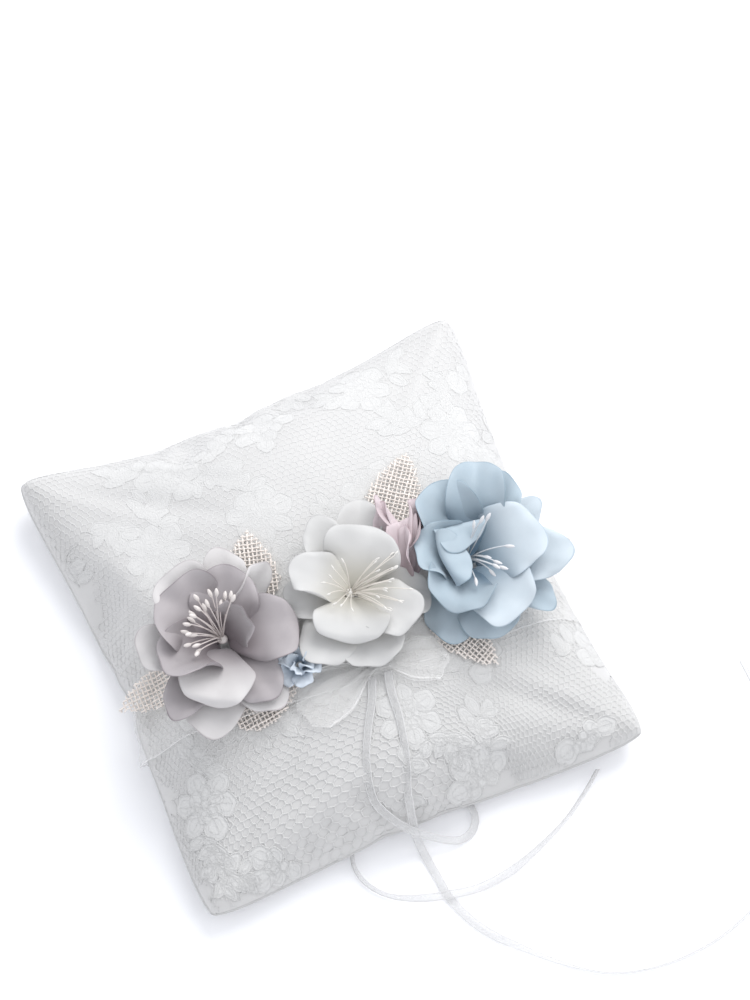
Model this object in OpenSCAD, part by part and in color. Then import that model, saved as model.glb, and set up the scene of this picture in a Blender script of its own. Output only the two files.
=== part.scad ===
// Ring bearer pillow: a small square satin cushion under a lace overlay, tied round with an
// organza sash, with three fabric flowers, small blossoms and burlap leaves on its front and
// two narrow ribbon tails for tying on the rings. Millimetres, +Z up. The origin is the middle
// of the face that the pillow rests on, +X runs to the right and +Y to the back edge.

/* [Pillow] */
// Width from corner to corner
pillow_w = 200; // [180:1:230]
// Depth from corner to corner
pillow_d = 206; // [190:1:235]
// Height of the crown above the table
crown_h = 52; // [48:1:60]
// Height of the sewn edge above the table
seam_z = 20; // [18:1:24]
// How far the middle of each side pulls in
side_pull = 7; // [3:0.5:10]
// Thickness of one layer of cloth
cloth_t = 0.8; // [0.6:0.1:1.2]

/* [Sash and bow] */
// Width of the organza sash
sash_w = 25; // [20:1:30]
// Place of the sash's middle along Y
sash_y = -24; // [-30:1:-18]
// Width of the bow's loops
bow_w = 20; // [16:1:24]
// Length of the bow's left loop
bow_left_l = 38; // [30:1:42]
// Length of the bow's right loop
bow_right_l = 31; // [26:1:34]

/* [Ring ribbons] */
// Width of the narrow ribbon
ribbon_w = 3.6; // [3:0.1:4]
// Thickness of the narrow ribbon, with its woven edges
ribbon_t = 0.9; // [0.8:0.1:1.2]

/* [Flowers] */
// Thickness of a moulded petal
petal_t = 0.7; // [0.5:0.1:0.9]
// Radius of the bound stem that the petals are glued round
stem_r = 3; // [2:0.25:3]
// Thickness of a stamen's thread
thread_d = 0.7; // [0.5:0.1:1]
// Thickness of a stamen's pearl tip
pearl_d = 1.8; // [1.4:0.1:2.2]
// Thickness of a burlap leaf
leaf_t = 0.8; // [0.6:0.1:1]

/* [Hidden] */
air = 0.1;                     // gap between cloth layers that lie on each other
rise = crown_h - seam_z;       // crown above the seam
drop = seam_z + 6;             // how far the back panel would hang if the table were not there
crown_power = 0.45;            // how quickly the cushion swells inwards from its seam
channel_z = 1.2;               // the sash presses this far into the back of the pillow
channel_w = sash_w + 3;        // width of the pressed channel
channel_ramp = 4;              // width of the slope on each side of it
far = 400;                     // larger than the whole part

// A flower is [x, y, height of its root above the table].
lilac_at = [-51, -7, 52];
white_at = [7.5, -9, 56];
blue_at = [58.5, -15, 50];

// A petal is [direction, lift at the root, bend over its length, length, width, root height].
// Angles are in degrees and a direction of 0 points along +X.
lilac_petals = [
    [124, 44, 50, 31, 22, 3.0], [76, 52, 56, 30, 18, 4.0], [22, 72, 50, 24, 15, 5.5],
    [-12, 42, 54, 34, 21, 3.0], [-80, 44, 48, 34, 15, 3.6], [-124, 52, 64, 32, 20, 4.6],
    [-160, 44, 44, 36, 17, 3.0],
    [108, 16, 18, 38, 22, 0.2], [67, 24, 30, 43, 15, 0.8], [38, 18, 24, 36, 14, 0.2],
    [165, 18, 26, 38, 17, 0.6], [-147, 12, 24, 40, 13, 0.0], [-120, 20, 30, 38, 18, 0.9],
    [-72, 14, 24, 35, 18, 0.0]
];
white_petals = [
    [56, 40, 48, 28, 24, 3.4], [141, 40, 46, 30, 20, 3.4], [-119, 48, 66, 26, 24, 4.2],
    [-61, 40, 52, 31, 19, 3.2],
    [97, 24, 30, 35, 17, 1.8], [64, 12, 22, 40, 18, 0.2], [-30, 16, 26, 32, 15, 0.8],
    [-139, 12, 26, 33, 18, 0.2], [-96, 16, 30, 32, 19, 0.9], [172, 18, 30, 28, 15, 0.9]
];
blue_petals = [
    [80, 62, 74, 26, 18, 5.4], [2, 42, 46, 33, 21, 3.2], [-77, 44, 56, 33, 22, 3.6],
    [-132, 54, 60, 28, 21, 5.2], [150, 56, 52, 29, 18, 2.8], [182, 72, 70, 20, 16, 5.6],
    [63, 26, 24, 45, 16, 1.8], [94, 20, 20, 36, 17, 1.0], [42, 20, 22, 38, 13, 1.6],
    [22, 9, 16, 39, 13, 0.0], [-16, 18, 24, 42, 18, 1.2], [-52, 8, 18, 38, 10, 0.0],
    [-94, 24, 32, 34, 19, 1.8], [-134, 17, 26, 33, 17, 0.6]
];

// A stamen is [direction, how far it leans from upright, length].
lilac_stamens = [
    for (i = [0:14]) [60 + i * 12, 20 + 18 * (i % 3), 17 - 2 * (i % 3)]
];
white_stamens = [
    for (i = [0:21]) [-70 + i * 12, 16 + 13 * (i % 4), 20 - 3 * (i % 3)]
];
blue_stamens = [
    for (i = [0:11]) [-110 + i * 18, 16 + 14 * (i % 3), 19 - 2 * (i % 3)]
];

// A leaf is [x and y of its root, height of its root above the lace, direction, length, width,
// height of its tip above the lace].
leaves = [
    [-29, 15, 1.2, 75, 25, 16, 2],
    [37, 19, 1.2, 62, 29, 17, 2],
    [-77, -8, 2.4, 178, 22, 15, 15],
    [86, -9, 6, -8, 20, 12, 16],
    [44, -40, 1.4, -60, 24, 16, 2],
    [-57, -42, 1.2, 4, 22, 14, 1.6]
];
leaf_names = ["leaf_back_left", "leaf_back_middle", "leaf_left",
              "leaf_right", "leaf_front_right", "leaf_front_left"];

// Routes of the two ring ribbons, from the knot to the cut end.
left_ribbon_route = [
    [1, -43, 54.6], [-3, -52, 52.8], [-9, -62, 50.4], [-15, -72, 47.4], [-19, -81, 42.6],
    [-20, -89, 35.4], [-18.5, -95, 28], [-15, -99.5, 18.5], [-9, -103.5, 11.5],
    [-2, -106.5, 8], [6, -109.5, 3.8], [13, -111, 1.2], [19, -109, 0.6], [22.5, -104, 0.6],
    [22, -97, 0.6], [16, -91, 0.6], [5, -88, 0.6], [-10, -88, 0.6], [-23, -91, 0.6],
    [-31, -97, 0.6], [-33.5, -105, 0.6], [-31, -114, 0.6], [-24, -122, 0.6],
    [-13, -127.5, 1.1], [-1.5, -131, 2.4], [14, -133, 0.9], [33, -130, 0.6],
    [55, -121.5, 0.6], [69, -113, 0.6], [79, -105.5, 0.6]
];
right_ribbon_route = [
    [8, -43, 54.8], [5, -52, 53], [2, -62, 50.8], [0, -72, 47.4], [-3, -82, 41.4],
    [-5, -91, 34], [-6, -97.5, 24], [-5.5, -101.5, 12.5], [-4.6, -106, 3.6], [-3.6, -113, 0.8],
    [-2.6, -122, 0.6], [-1, -134, 0.6], [5.5, -149, 0.6], [17, -163, 0.6], [31, -177, 0.6],
    [47, -188.5, 0.6], [66, -194, 0.6], [86, -194.5, 0.6], [104, -191, 0.6],
    [121, -183.5, 0.6], [136, -172, 0.6], [146, -158, 0.6], [152, -142, 0.6],
    [155, -124, 0.6], [156, -105, 0.6], [155.5, -85, 0.6]
];
ring_gap = 8;                  // rings along a ribbon are about this far apart

lilac_names = [for (i = [1:len(lilac_petals)]) str("lilac_petal_", i)];
white_names = [for (i = [1:len(white_petals)]) str("white_petal_", i)];
blue_names = [for (i = [1:len(blue_petals)]) str("blue_petal_", i)];

// ---- Shape of the pillow ----

// Half the width at v and half the depth at u: the sides pull in between the corners.
function half_w(v) = pillow_w / 2 - side_pull * (1 - v * v);
function half_d(u) = pillow_d / 2 - side_pull * (1 - u * u);

// How far the cushion has swollen at (u, v), from 0 at the seam to 1 in the middle.
function swell(u, v) = pow(max(0, (1 - u * u) * (1 - v * v)), crown_power);

// Height of the front and of the back cloth, the back one pressed flat and channelled.
function front_z(u, v) = seam_z + rise * swell(u, v);
function back_free_z(u, v) = seam_z - air - 2 * cloth_t - drop * swell(u, v);
function in_channel(v) = abs(v * half_d(0) - sash_y) < channel_w / 2 + air;
function back_z(u, v) = max(back_free_z(u, v), in_channel(v) ? channel_z : -drop);

// Grid lines: even ones, with the channel's own edges in place of those near it.
columns = [for (i = [-9:9]) sin(10 * i)];
even_rows = columns;
channel_rows = [
    for (y = [-channel_w / 2 - channel_ramp, -channel_w / 2, 0, channel_w / 2,
              channel_w / 2 + channel_ramp])
        (sash_y + y) / half_d(0)
];
rows = concat(
    [for (v = even_rows) if (v < channel_rows[0] - 0.03) v],
    channel_rows,
    [for (v = even_rows) if (v > channel_rows[4] + 0.03) v]
);

// A closed solid between two heights over the pillow's outline. It takes two lists of rows
// of points, the top ones and the bottom ones.
module between(top, bottom) {
    n_rows = len(top);
    n_cols = len(top[0]);
    top_points = [for (r = top) for (p = r) p];
    bottom_points = [for (r = bottom) for (p = r) p];
    half = n_rows * n_cols;
    function at(r, c) = r * n_cols + c;
    edge = concat(
        [for (c = [0:n_cols - 2]) at(0, c)],
        [for (r = [0:n_rows - 2]) at(r, n_cols - 1)],
        [for (c = [n_cols - 1:-1:1]) at(n_rows - 1, c)],
        [for (r = [n_rows - 1:-1:1]) at(r, 0)]
    );
    quads = [for (r = [0:n_rows - 2]) for (c = [0:n_cols - 2])
        [at(r, c), at(r, c + 1), at(r + 1, c + 1), at(r + 1, c)]];
    polyhedron(
        points = concat(top_points, bottom_points),
        faces = concat(
            [for (q = quads) [q[3], q[2], q[1]]],
            [for (q = quads) [q[3], q[1], q[0]]],
            [for (q = quads) [half + q[1], half + q[2], half + q[3]]],
            [for (q = quads) [half + q[0], half + q[1], half + q[3]]],
            [for (i = [0:len(edge) - 1])
                let (a = edge[i], b = edge[(i + 1) % len(edge)])
                [a, b, half + b, half + a]]
        ),
        convexity = 6
    );
}

// ---- Pillow ----

// The filling stops one grid line inside the seam.
module fibre_fill() {
    inner_columns = [for (i = [1:len(columns) - 2]) columns[i]];
    inner_rows = [for (i = [1:len(rows) - 2]) rows[i]];
    color("white")
        between(
            [for (v = inner_rows) [for (u = inner_columns)
                [u * half_w(v), v * half_d(u), front_z(u, v) - cloth_t - air]]],
            [for (v = inner_rows) [for (u = inner_columns)
                [u * half_w(v), v * half_d(u), max(back_z(u, v), 0) + cloth_t + air]]]
        );
}

module back_panel() {
    color("whitesmoke")
        difference() {
            between(
                [for (v = rows) [for (u = columns)
                    [u * half_w(v), v * half_d(u), max(back_z(u, v), 0) + cloth_t]]],
                [for (v = rows) [for (u = columns)
                    [u * half_w(v), v * half_d(u), back_z(u, v)]]]
            );
            translate([-far / 2, -far / 2, -far]) cube(far);
        }
}

// One layer of cloth over the front, a given height above the satin's face.
module front_layer(base) {
    between(
        [for (v = rows) [for (u = columns)
            [u * half_w(v), v * half_d(u), front_z(u, v) + base + cloth_t]]],
        [for (v = rows) [for (u = columns)
            [u * half_w(v), v * half_d(u), front_z(u, v) + base]]]
    );
}

module front_panel() {
    color("ivory") front_layer(-cloth_t);
}

module lace_overlay() {
    color("snow") front_layer(air);
}

// ---- Sash ----

// The sash's loop at row v, pushed outwards by out: over the front, then back underneath.
function sash_loop(v, out) = concat(
    [for (u = columns)
        [u * (half_w(v) + air + out), v * half_d(u), front_z(u, v) + cloth_t + 2 * air + out]],
    [for (i = [len(columns) - 1:-1:0])
        let (u = columns[i])
        [u * (half_w(v) + air + out), v * half_d(u),
         max(back_free_z(u, v), channel_z) - air - out]]
);

module organza_sash() {
    half_v = sash_w / 2 / half_d(0);
    mid_v = sash_y / half_d(0);
    loops = [for (k = [-1, 0, 1]) sash_loop(mid_v + k * half_v, cloth_t)];
    inner = [for (k = [-1, 0, 1]) sash_loop(mid_v + k * half_v, 0)];
    n = len(loops[0]);
    all = concat([for (l = loops) for (p = l) p], [for (l = inner) for (p = l) p]);
    skin = 3 * n;
    function next(i) = (i + 1) % n;
    color("floralwhite")
        polyhedron(
            points = all,
            faces = concat(
                [for (r = [0, 1]) for (i = [0:n - 1])
                    [r * n + i, r * n + next(i), (r + 1) * n + next(i)]],
                [for (r = [0, 1]) for (i = [0:n - 1])
                    [r * n + i, (r + 1) * n + next(i), (r + 1) * n + i]],
                [for (r = [0, 1]) for (i = [0:n - 1])
                    [skin + r * n + i, skin + (r + 1) * n + next(i), skin + r * n + next(i)]],
                [for (r = [0, 1]) for (i = [0:n - 1])
                    [skin + r * n + i, skin + (r + 1) * n + i, skin + (r + 1) * n + next(i)]],
                [for (i = [0:n - 1]) [i, skin + next(i), next(i)]],
                [for (i = [0:n - 1]) [i, skin + i, skin + next(i)]],
                [for (i = [0:n - 1]) [2 * n + i, 2 * n + next(i), skin + 2 * n + next(i)]],
                [for (i = [0:n - 1]) [2 * n + i, skin + 2 * n + next(i), skin + 2 * n + i]]
            ),
            convexity = 10
        );
}

// ---- Swept strips: bow loops and ribbon tails ----

// A closed sweep of a section, given as rings of points.
module sweep_rings(rings) {
    n = len(rings[0]);
    last = (len(rings) - 1) * n;
    polyhedron(
        points = [for (r = rings) for (p = r) p],
        faces = concat(
            [[for (i = [0:n - 1]) i]],
            [for (r = [0:len(rings) - 2]) for (i = [0:n - 1])
                [r * n + i, (r + 1) * n + (i + 1) % n, r * n + (i + 1) % n]],
            [for (r = [0:len(rings) - 2]) for (i = [0:n - 1])
                [r * n + i, (r + 1) * n + i, (r + 1) * n + (i + 1) % n]],
            [[for (i = [n - 1:-1:0]) last + i]]
        ),
        convexity = 8
    );
}

function unit(v) = v / norm(v);

// Point and direction on a smooth curve through four points.
function curve_at(a, b, c, d, t) = 0.5 * (
    2 * b + (c - a) * t + (2 * a - 5 * b + 4 * c - d) * t * t
    + (3 * b - a - 3 * c + d) * t * t * t
);

// A smooth path through a route, with rings about ring_gap apart.
function smooth(route) = [
    for (i = [0:len(route) - 2])
        let (
            a = route[max(0, i - 1)], b = route[i],
            c = route[i + 1], d = route[min(len(route) - 1, i + 2)],
            n = max(1, round(norm(c - b) / ring_gap))
        )
        for (k = [0:n - 1]) curve_at(a, b, c, d, k / n),
    route[len(route) - 1]
];

// Rings of a flat eight-sided section along a path, lying with its width level.
function ribbon_rings(path) = [
    for (i = [0:len(path) - 1])
        let (
            along = unit(path[min(len(path) - 1, i + 1)] - path[max(0, i - 1)]),
            side = unit(cross([0, 0, 1], along)),
            up = cross(along, side)
        )
        [for (k = [0:7])
            let (angle = 22.5 + 45 * k)
            path[i] + side * cos(angle) * ribbon_w / 2 / cos(22.5)
                + up * sin(angle) * ribbon_t / 2 / cos(22.5)]
];

module ring_ribbon_left() {
    color("white") sweep_rings(ribbon_rings(smooth(left_ribbon_route)));
}

module ring_ribbon_right() {
    color("white") sweep_rings(ribbon_rings(smooth(right_ribbon_route)));
}

// ---- Bow ----

knot_at = [4.5, -38, 54.2];    // middle of the bow's knot
knot_r = 2.6;                  // radius of the knot
knot_l = 9;                    // length of the knot along X
loop_gap = 2.4;                // height of a loop's mouth
loop_t = 0.6;                  // thickness of its cloth
loop_steps = 9;                // rings along one side of a loop

module bow_knot() {
    round_r = 1;
    color("white")
        translate(knot_at - [knot_l / 2, 0, 0])
            rotate([0, 90, 0])
                rotate_extrude($fn = 24)
                    union() {
                        translate([0, round_r]) square([knot_r, knot_l - 2 * round_r]);
                        square([knot_r - round_r, knot_l]);
                        translate([knot_r - round_r, round_r]) circle(round_r, $fn = 24);
                        translate([knot_r - round_r, knot_l - round_r])
                            circle(round_r, $fn = 24);
                    }
}

// A loop of ribbon from the knot out to length l and back over itself, along +X. It lies
// down towards its tip by dip degrees.
module bow_loop(l, dip) {
    path = concat(
        [for (i = [0:loop_steps]) let (t = i / loop_steps)
            [l * t, -loop_gap / 2 * sin(180 * t * 0.94) - 0.4]],
        [for (i = [1:3]) let (a = -90 + 45 * i) [l + 1.2 * cos(a), 0.4 * sin(a)]],
        [for (i = [loop_steps:-1:0]) let (t = i / loop_steps)
            [l * t, loop_gap / 2 * sin(180 * t * 0.94) + 0.4]]
    );
    function strip_w(x) = bow_w * (0.25 + 0.75 * sin(90 * min(1, max(0, x) / l * 1.6)));
    rotate([0, dip, 0])
        sweep_rings([
            for (i = [0:len(path) - 1])
                let (
                    p = path[i],
                    a = path[max(0, i - 1)],
                    b = path[min(len(path) - 1, i + 1)],
                    along = unit(b - a),
                    off = [-along[1], along[0]] * loop_t / 2,
                    w = strip_w(p[0]) / 2
                )
                [[p[0] - off[0], -w, p[1] - off[1]], [p[0] - off[0], w, p[1] - off[1]],
                 [p[0] + off[0], w, p[1] + off[1]], [p[0] + off[0], -w, p[1] + off[1]]]
        ]);
}

module bow_loop_left() {
    color("ivory")
        translate(knot_at + [-knot_l / 2 - air, -0.5, 0])
            rotate([0, 0, -167]) bow_loop(bow_left_l, 3);
}

module bow_loop_right() {
    color("ivory")
        translate(knot_at + [knot_l / 2 + air, -0.5, 0])
            rotate([0, 0, -20]) bow_loop(bow_right_l, 5);
}

// ---- Flowers ----

petal_rows = 6;                // steps along a petal
petal_cols = 4;                // steps across it
petal_cup = 0.05;              // how far its edges rise, as a share of its width
root_gap = 0.5;                // between the stem and a petal's root

// Place on a strip that leaves at angle lift and bends down by bend over its length l.
function arc_x(l, lift, bend, t) = l * 180 / PI / bend * (sin(lift) - sin(lift - bend * t));
function arc_z(l, lift, bend, t) = l * 180 / PI / bend * (cos(lift - bend * t) - cos(lift));

// Half width along an oval that is cut short at the root: tip_cut is where it ends.
function oval(w, t, tip_cut) = let (m = 0.03 + (tip_cut - 0.03) * pow(t, 1.3))
    w / 2 * sqrt(1 - pow(2 * m - 1, 2));

// A thin curved petal along +X.
module petal_shell(l, w, lift, bend, thick, cup, tip_cut) {
    function point(t, s, side) =
        let (
            a = lift - bend * t,
            up = cup * w * s * s * sin(180 * min(1, t * 1.1)) + side * thick / 2
        )
        [arc_x(l, lift, bend, t) - sin(a) * up, s * oval(w, t, tip_cut),
         arc_z(l, lift, bend, t) + cos(a) * up];
    function side_rows(side) = [
        for (c = [0:petal_cols]) let (s = 2 * c / petal_cols - 1)
            [for (r = [0:petal_rows]) point(r / petal_rows, s, side)]
    ];
    between(side_rows(1), side_rows(-1));
}

module flower_petal(at, p) {
    translate([at[0], at[1], at[2] + p[5]])
        rotate([0, 0, p[0]])
            translate([stem_r + root_gap, 0, 0])
                petal_shell(p[3] - stem_r - root_gap, p[4], p[1], p[2], petal_t, petal_cup, 0.96);
}

// A bound stem with threads that end in pearl tips.
module stamen_bunch(at, stamens, stem_h) {
    translate([at[0], at[1], at[2] + stem_h]) {
        translate([0, 0, -stem_h]) cylinder(h = stem_h + 2, r = stem_r, $fn = 24);
        for (s = stamens)
            rotate([0, s[1], s[0]]) {
                cylinder(h = s[2], d = thread_d, $fn = 6);
                translate([0, 0, s[2]]) sphere(d = pearl_d, $fn = 16);
            }
    }
}

module lilac_stamens() {
    color("mistyrose") stamen_bunch(lilac_at, lilac_stamens, 5);
}

module white_stamens() {
    color("cornsilk") stamen_bunch(white_at, white_stamens, 5);
}

module blue_stamens() {
    color("gainsboro") stamen_bunch(blue_at, blue_stamens, 5);
}

// ---- Small blossoms and leaves ----

pink_at = [29, -14, 55.6];       // root of the pink blossom
small_blue_at = [-26.5, -31, 53.5];

// A crumpled blossom that leans back between the white and the blue flower.
module pink_blossom() {
    color("rosybrown")
        translate(pink_at)
            rotate([0, 0, 72])
                rotate([0, 3, 0])
                    for (fold = [0:3])
                        translate([0, 0, 1.6 * fold])
                            petal_shell(36 - 4 * fold, 20 - 3 * fold, 8 + 5 * fold, 20, 1,
                                        0.05, 0.8);
}

// A little five-petalled blossom.
module small_blue_blossom() {
    color("steelblue")
        translate(small_blue_at) {
            cylinder(h = 2.4, r = 2.2, $fn = 24);
            for (i = [0:4])
                rotate([0, 0, 72 * i])
                    translate([1.4, 0, 1.2 + 0.2 * i])
                        petal_shell(7.6, 8, 40, 50, 0.6, 0.05, 0.94);
        }
}

// Height of the lace's face at a place on the pillow.
function lace_z(x, y) = front_z(x / half_w(0), y / half_d(0)) + 2 * cloth_t + air;

// A pointed burlap leaf that starts at its stalk and lies along the lace, a little clear of it.
module burlap_leaf(leaf) {
    leaf_bend = 16;
    l = leaf[4];
    root_z = lace_z(leaf[0], leaf[1]) + leaf[2];
    tip_z = lace_z(leaf[0] + l * cos(leaf[3]), leaf[1] + l * sin(leaf[3])) + leaf[6];
    color("burlywood")
        translate([leaf[0], leaf[1], root_z])
            rotate([0, 0, leaf[3]])
                petal_shell(l, leaf[5], asin((tip_z - root_z) / l) + leaf_bend / 2, leaf_bend,
                            leaf_t, 0.02, 0.985);
}

fibre_fill();
back_panel();
front_panel();
lace_overlay();
organza_sash();
bow_knot();
bow_loop_left();
bow_loop_right();
ring_ribbon_left();
ring_ribbon_right();
lilac_stamens();
white_stamens();
blue_stamens();
pink_blossom();
small_blue_blossom();
for (i = [0:len(leaves) - 1])
    burlap_leaf(leaves[i]);
for (i = [0:len(lilac_petals) - 1])
    color("thistle") flower_petal(lilac_at, lilac_petals[i]);
for (i = [0:len(white_petals) - 1])
    color("white") flower_petal(white_at, white_petals[i]);
for (i = [0:len(blue_petals) - 1])
    color("lightsteelblue") flower_petal(blue_at, blue_petals[i]);
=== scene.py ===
# %% [markdown]
# # Ring bearer pillow
# A ring bearer carries the wedding rings on a small cushion like this one, tied on with
# narrow ribbons. This lesson dresses the plain CAD frame of the pillow: satin and lace over
# a filled cushion, a sheer sash and bow, burlap leaves, and three moulded cloth flowers.
# Everything is in metres, in the frame's own place, so nothing has to be fitted afterwards.

# %% Load the frame
import math

import bpy
import numpy as np
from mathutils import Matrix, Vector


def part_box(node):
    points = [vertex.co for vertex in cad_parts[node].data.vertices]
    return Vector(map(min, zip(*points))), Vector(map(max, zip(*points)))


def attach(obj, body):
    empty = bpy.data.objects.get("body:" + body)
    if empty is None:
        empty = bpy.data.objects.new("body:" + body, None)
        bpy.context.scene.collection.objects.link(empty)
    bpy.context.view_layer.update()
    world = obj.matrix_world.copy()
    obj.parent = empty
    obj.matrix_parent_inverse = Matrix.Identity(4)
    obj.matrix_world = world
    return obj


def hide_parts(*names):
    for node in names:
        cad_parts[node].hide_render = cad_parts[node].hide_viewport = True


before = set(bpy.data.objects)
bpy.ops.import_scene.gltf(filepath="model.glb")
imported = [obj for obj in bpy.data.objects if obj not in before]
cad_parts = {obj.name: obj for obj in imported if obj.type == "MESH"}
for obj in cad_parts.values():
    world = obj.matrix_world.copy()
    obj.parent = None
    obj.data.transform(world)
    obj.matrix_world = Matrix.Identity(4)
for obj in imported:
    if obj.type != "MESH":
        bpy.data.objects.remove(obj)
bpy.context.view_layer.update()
BODY = "root"
MM = 0.001

# %% [markdown]
# ## Helpers for mesh work
# Most pieces below are made from a few kinds of mesh: a grid that is bent into shape, a
# tube along a path, and a flat strip along a path. Keeping them as small functions lets each
# later cell say what the piece is and not how its faces are numbered.

# %% Small helpers
def smooth_step(edge_low, edge_high, x):
    t = np.clip((x - edge_low) / (edge_high - edge_low), 0, 1)
    return t * t * (3 - 2 * t)


def set_uv(piece, name, uv):
    """Give a mesh a UV map, from one place in it for each point of the mesh."""
    mesh = piece.data
    layer = mesh.uv_layers.get(name) or mesh.uv_layers.new(name=name)
    index = np.empty(len(mesh.loops), dtype=np.int64)
    mesh.loops.foreach_get("vertex_index", index)
    layer.data.foreach_set("uv", np.asarray(uv, dtype=np.float32)[index].ravel())


def new_object(name, verts, faces, uv=None):
    """A mesh object from points and faces, with a UV for each point if given."""
    mesh = bpy.data.meshes.new(name)
    mesh.from_pydata([tuple(v) for v in verts], [], faces)
    mesh.update()
    piece = bpy.data.objects.new(name, mesh)
    if uv is not None:
        set_uv(piece, "cloth", uv)
    bpy.context.scene.collection.objects.link(piece)
    return piece


def points_of(piece):
    """The points of a piece's mesh as rows of x, y and z."""
    co = np.empty(len(piece.data.vertices) * 3)
    piece.data.vertices.foreach_get("co", co)
    return co.reshape(-1, 3)


def set_points(piece, co):
    piece.data.vertices.foreach_set("co", np.asarray(co, dtype=np.float32).ravel())
    piece.data.update()


def only(piece):
    """Deselect everything, then select and activate one piece."""
    if bpy.context.object and bpy.context.object.mode != "OBJECT":
        bpy.ops.object.mode_set(mode="OBJECT")
    bpy.ops.object.select_all(action="DESELECT")
    piece.select_set(True)
    bpy.context.view_layer.objects.active = piece


def finish_piece(piece, material, *replaced, slot):
    """Give a piece its material and its body, and hide the CAD nodes it stands for; its slot is not
    used.
    """
    piece.data.materials.clear()
    piece.data.materials.append(material)
    piece.data.polygons.foreach_set("use_smooth", [True] * len(piece.data.polygons))
    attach(piece, BODY)
    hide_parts(*replaced)


def add_and_apply(piece, kind, **settings):
    """Give a piece a modifier and apply it at once."""
    only(piece)
    modifier = piece.modifiers.new(kind.title(), kind)
    for key, value in settings.items():
        setattr(modifier, key, value)
    bpy.ops.object.modifier_apply(modifier=modifier.name)


def squashed_ball(name, centre, radii, segments, rings):
    """A ball squashed to a radius for each axis in millimetres, at a place in metres."""
    centre = tuple(centre)
    bpy.ops.object.select_all(action="DESELECT")
    bpy.ops.mesh.primitive_uv_sphere_add(segments=segments, ring_count=rings, radius=MM,
                                         location=centre)
    ball = bpy.context.object
    ball.name = ball.data.name = name
    ball.data.uv_layers[0].name = "cloth"
    bpy.ops.transform.resize(value=radii, center_override=centre)
    bpy.ops.object.transform_apply(location=True, rotation=True, scale=True)
    return ball


def join(pieces):
    """Join pieces into the first of them."""
    only(pieces[0])
    for piece in pieces[1:]:
        piece.select_set(True)
    bpy.ops.object.join()
    return pieces[0]


# %% Curves, and skins swept along them
TUBE_HELPER = np.array([0.31, 0.17, 0.93])  # a direction that no path here runs along
# The powers of f, from 0 to 3, in the weights of four neighbouring points, for a smooth
# curve that runs from the second (f is 0) to the third (f is 1).
SPLINE = np.array([[0, -1, 2, -1], [2, 0, -5, 3], [0, 1, 4, -3], [0, 0, -1, 1]]) / 2
SPLINE_STEP = 0.05


def unit(vectors):
    """Each row made one long."""
    return vectors / (np.linalg.norm(vectors, axis=1)[:, None] + 1e-12)


def directions(path):
    """Which way a path runs at each of its points."""
    return unit(np.gradient(path, axis=0))


def spline_weights(f):
    """The weights of the four points at each f, and how fast each weight changes."""
    powers = f ** np.arange(4)[:, None]
    return SPLINE @ powers, (SPLINE[:, 1:] * [1, 2, 3]) @ powers[:3]


def resample(path, step):
    """A smooth curve through given points, at even steps, and its length."""
    path = np.asarray(path, dtype=float)
    padded = np.vstack([2 * path[0] - path[1], path, 2 * path[-1] - path[-2]])
    weights = spline_weights(np.arange(0, 1, SPLINE_STEP))[0].T
    fine = np.vstack([weights @ padded[i:i + 4] for i in range(len(path) - 1)] + [path[-1]])
    run = np.concatenate([[0], np.cumsum(np.linalg.norm(np.diff(fine, axis=0), axis=1))])
    count = max(2, int(round(run[-1] / step)) + 1)
    at = np.linspace(0, run[-1], count)
    return np.column_stack([np.interp(at, run, fine[:, k]) for k in range(3)]), run[-1]


def swept_faces(base, rings, sides):
    """Faces of a closed skin over rings of points that are numbered from base."""
    faces = [tuple(base + k for k in reversed(range(sides)))]
    for i in range(rings - 1):
        for k in range(sides):
            a = base + i * sides + k
            b = base + i * sides + (k + 1) % sides
            faces.append((a, b, b + sides, a + sides))
    faces.append(tuple(base + (rings - 1) * sides + k for k in range(sides)))
    return faces


def tube_mesh(paths, radii, sides):
    """Points, faces and UVs of closed tubes; a radius may vary along its path."""
    verts = []
    faces = []
    uv = []
    for path, radius in zip(paths, radii):
        rings = len(path)
        radius = np.broadcast_to(radius, rings)
        along = directions(path)
        across = unit(np.cross(along, TUBE_HELPER))
        up = np.cross(across, along)
        faces += swept_faces(len(verts), rings, sides)
        for i in range(rings):
            for k in range(sides):
                angle = 2 * math.pi * k / sides
                side = across[i] * math.cos(angle) + up[i] * math.sin(angle)
                verts.append(path[i] + side * radius[i])
                uv.append((k / sides, i / (rings - 1)))
    return verts, faces, uv


# %% [markdown]
# ## Camera, floor and light
# The pillow is seen from high above its front left corner, from far enough away that its
# edges stay nearly parallel, so a long lens is used. A white floor and wide soft lights
# give a bright, even picture with pale shadows.

# %% Camera
VIEW_TURN = math.radians(-23.2)
VIEW_HEIGHT = math.radians(71)
VIEW_DISTANCE = 2.0
AIM = np.array([37, 38, 20]) * MM
back = np.array([
    math.sin(VIEW_TURN) * math.cos(VIEW_HEIGHT),
    -math.cos(VIEW_TURN) * math.cos(VIEW_HEIGHT),
    math.sin(VIEW_HEIGHT),
])
camera_data = bpy.data.cameras.new("camera")
camera_data.sensor_width = 36               # millimetres, as the lens is
camera_data.lens = 167
camera = bpy.data.objects.new("camera", camera_data)
camera.location = AIM + back * VIEW_DISTANCE
camera.rotation_euler = (math.pi / 2 - VIEW_HEIGHT, 0, VIEW_TURN)
bpy.context.scene.collection.objects.link(camera)
bpy.context.scene.camera = camera
bpy.context.scene.view_settings.view_transform = "Standard"


# %% Floor and lights
def plain_material(name, colour, roughness):
    material = bpy.data.materials.new(name)
    material.use_nodes = True
    shader = material.node_tree.nodes["Principled BSDF"]
    shader.inputs["Base Color"].default_value = (*colour, 1)
    shader.inputs["Roughness"].default_value = roughness
    return material


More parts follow.
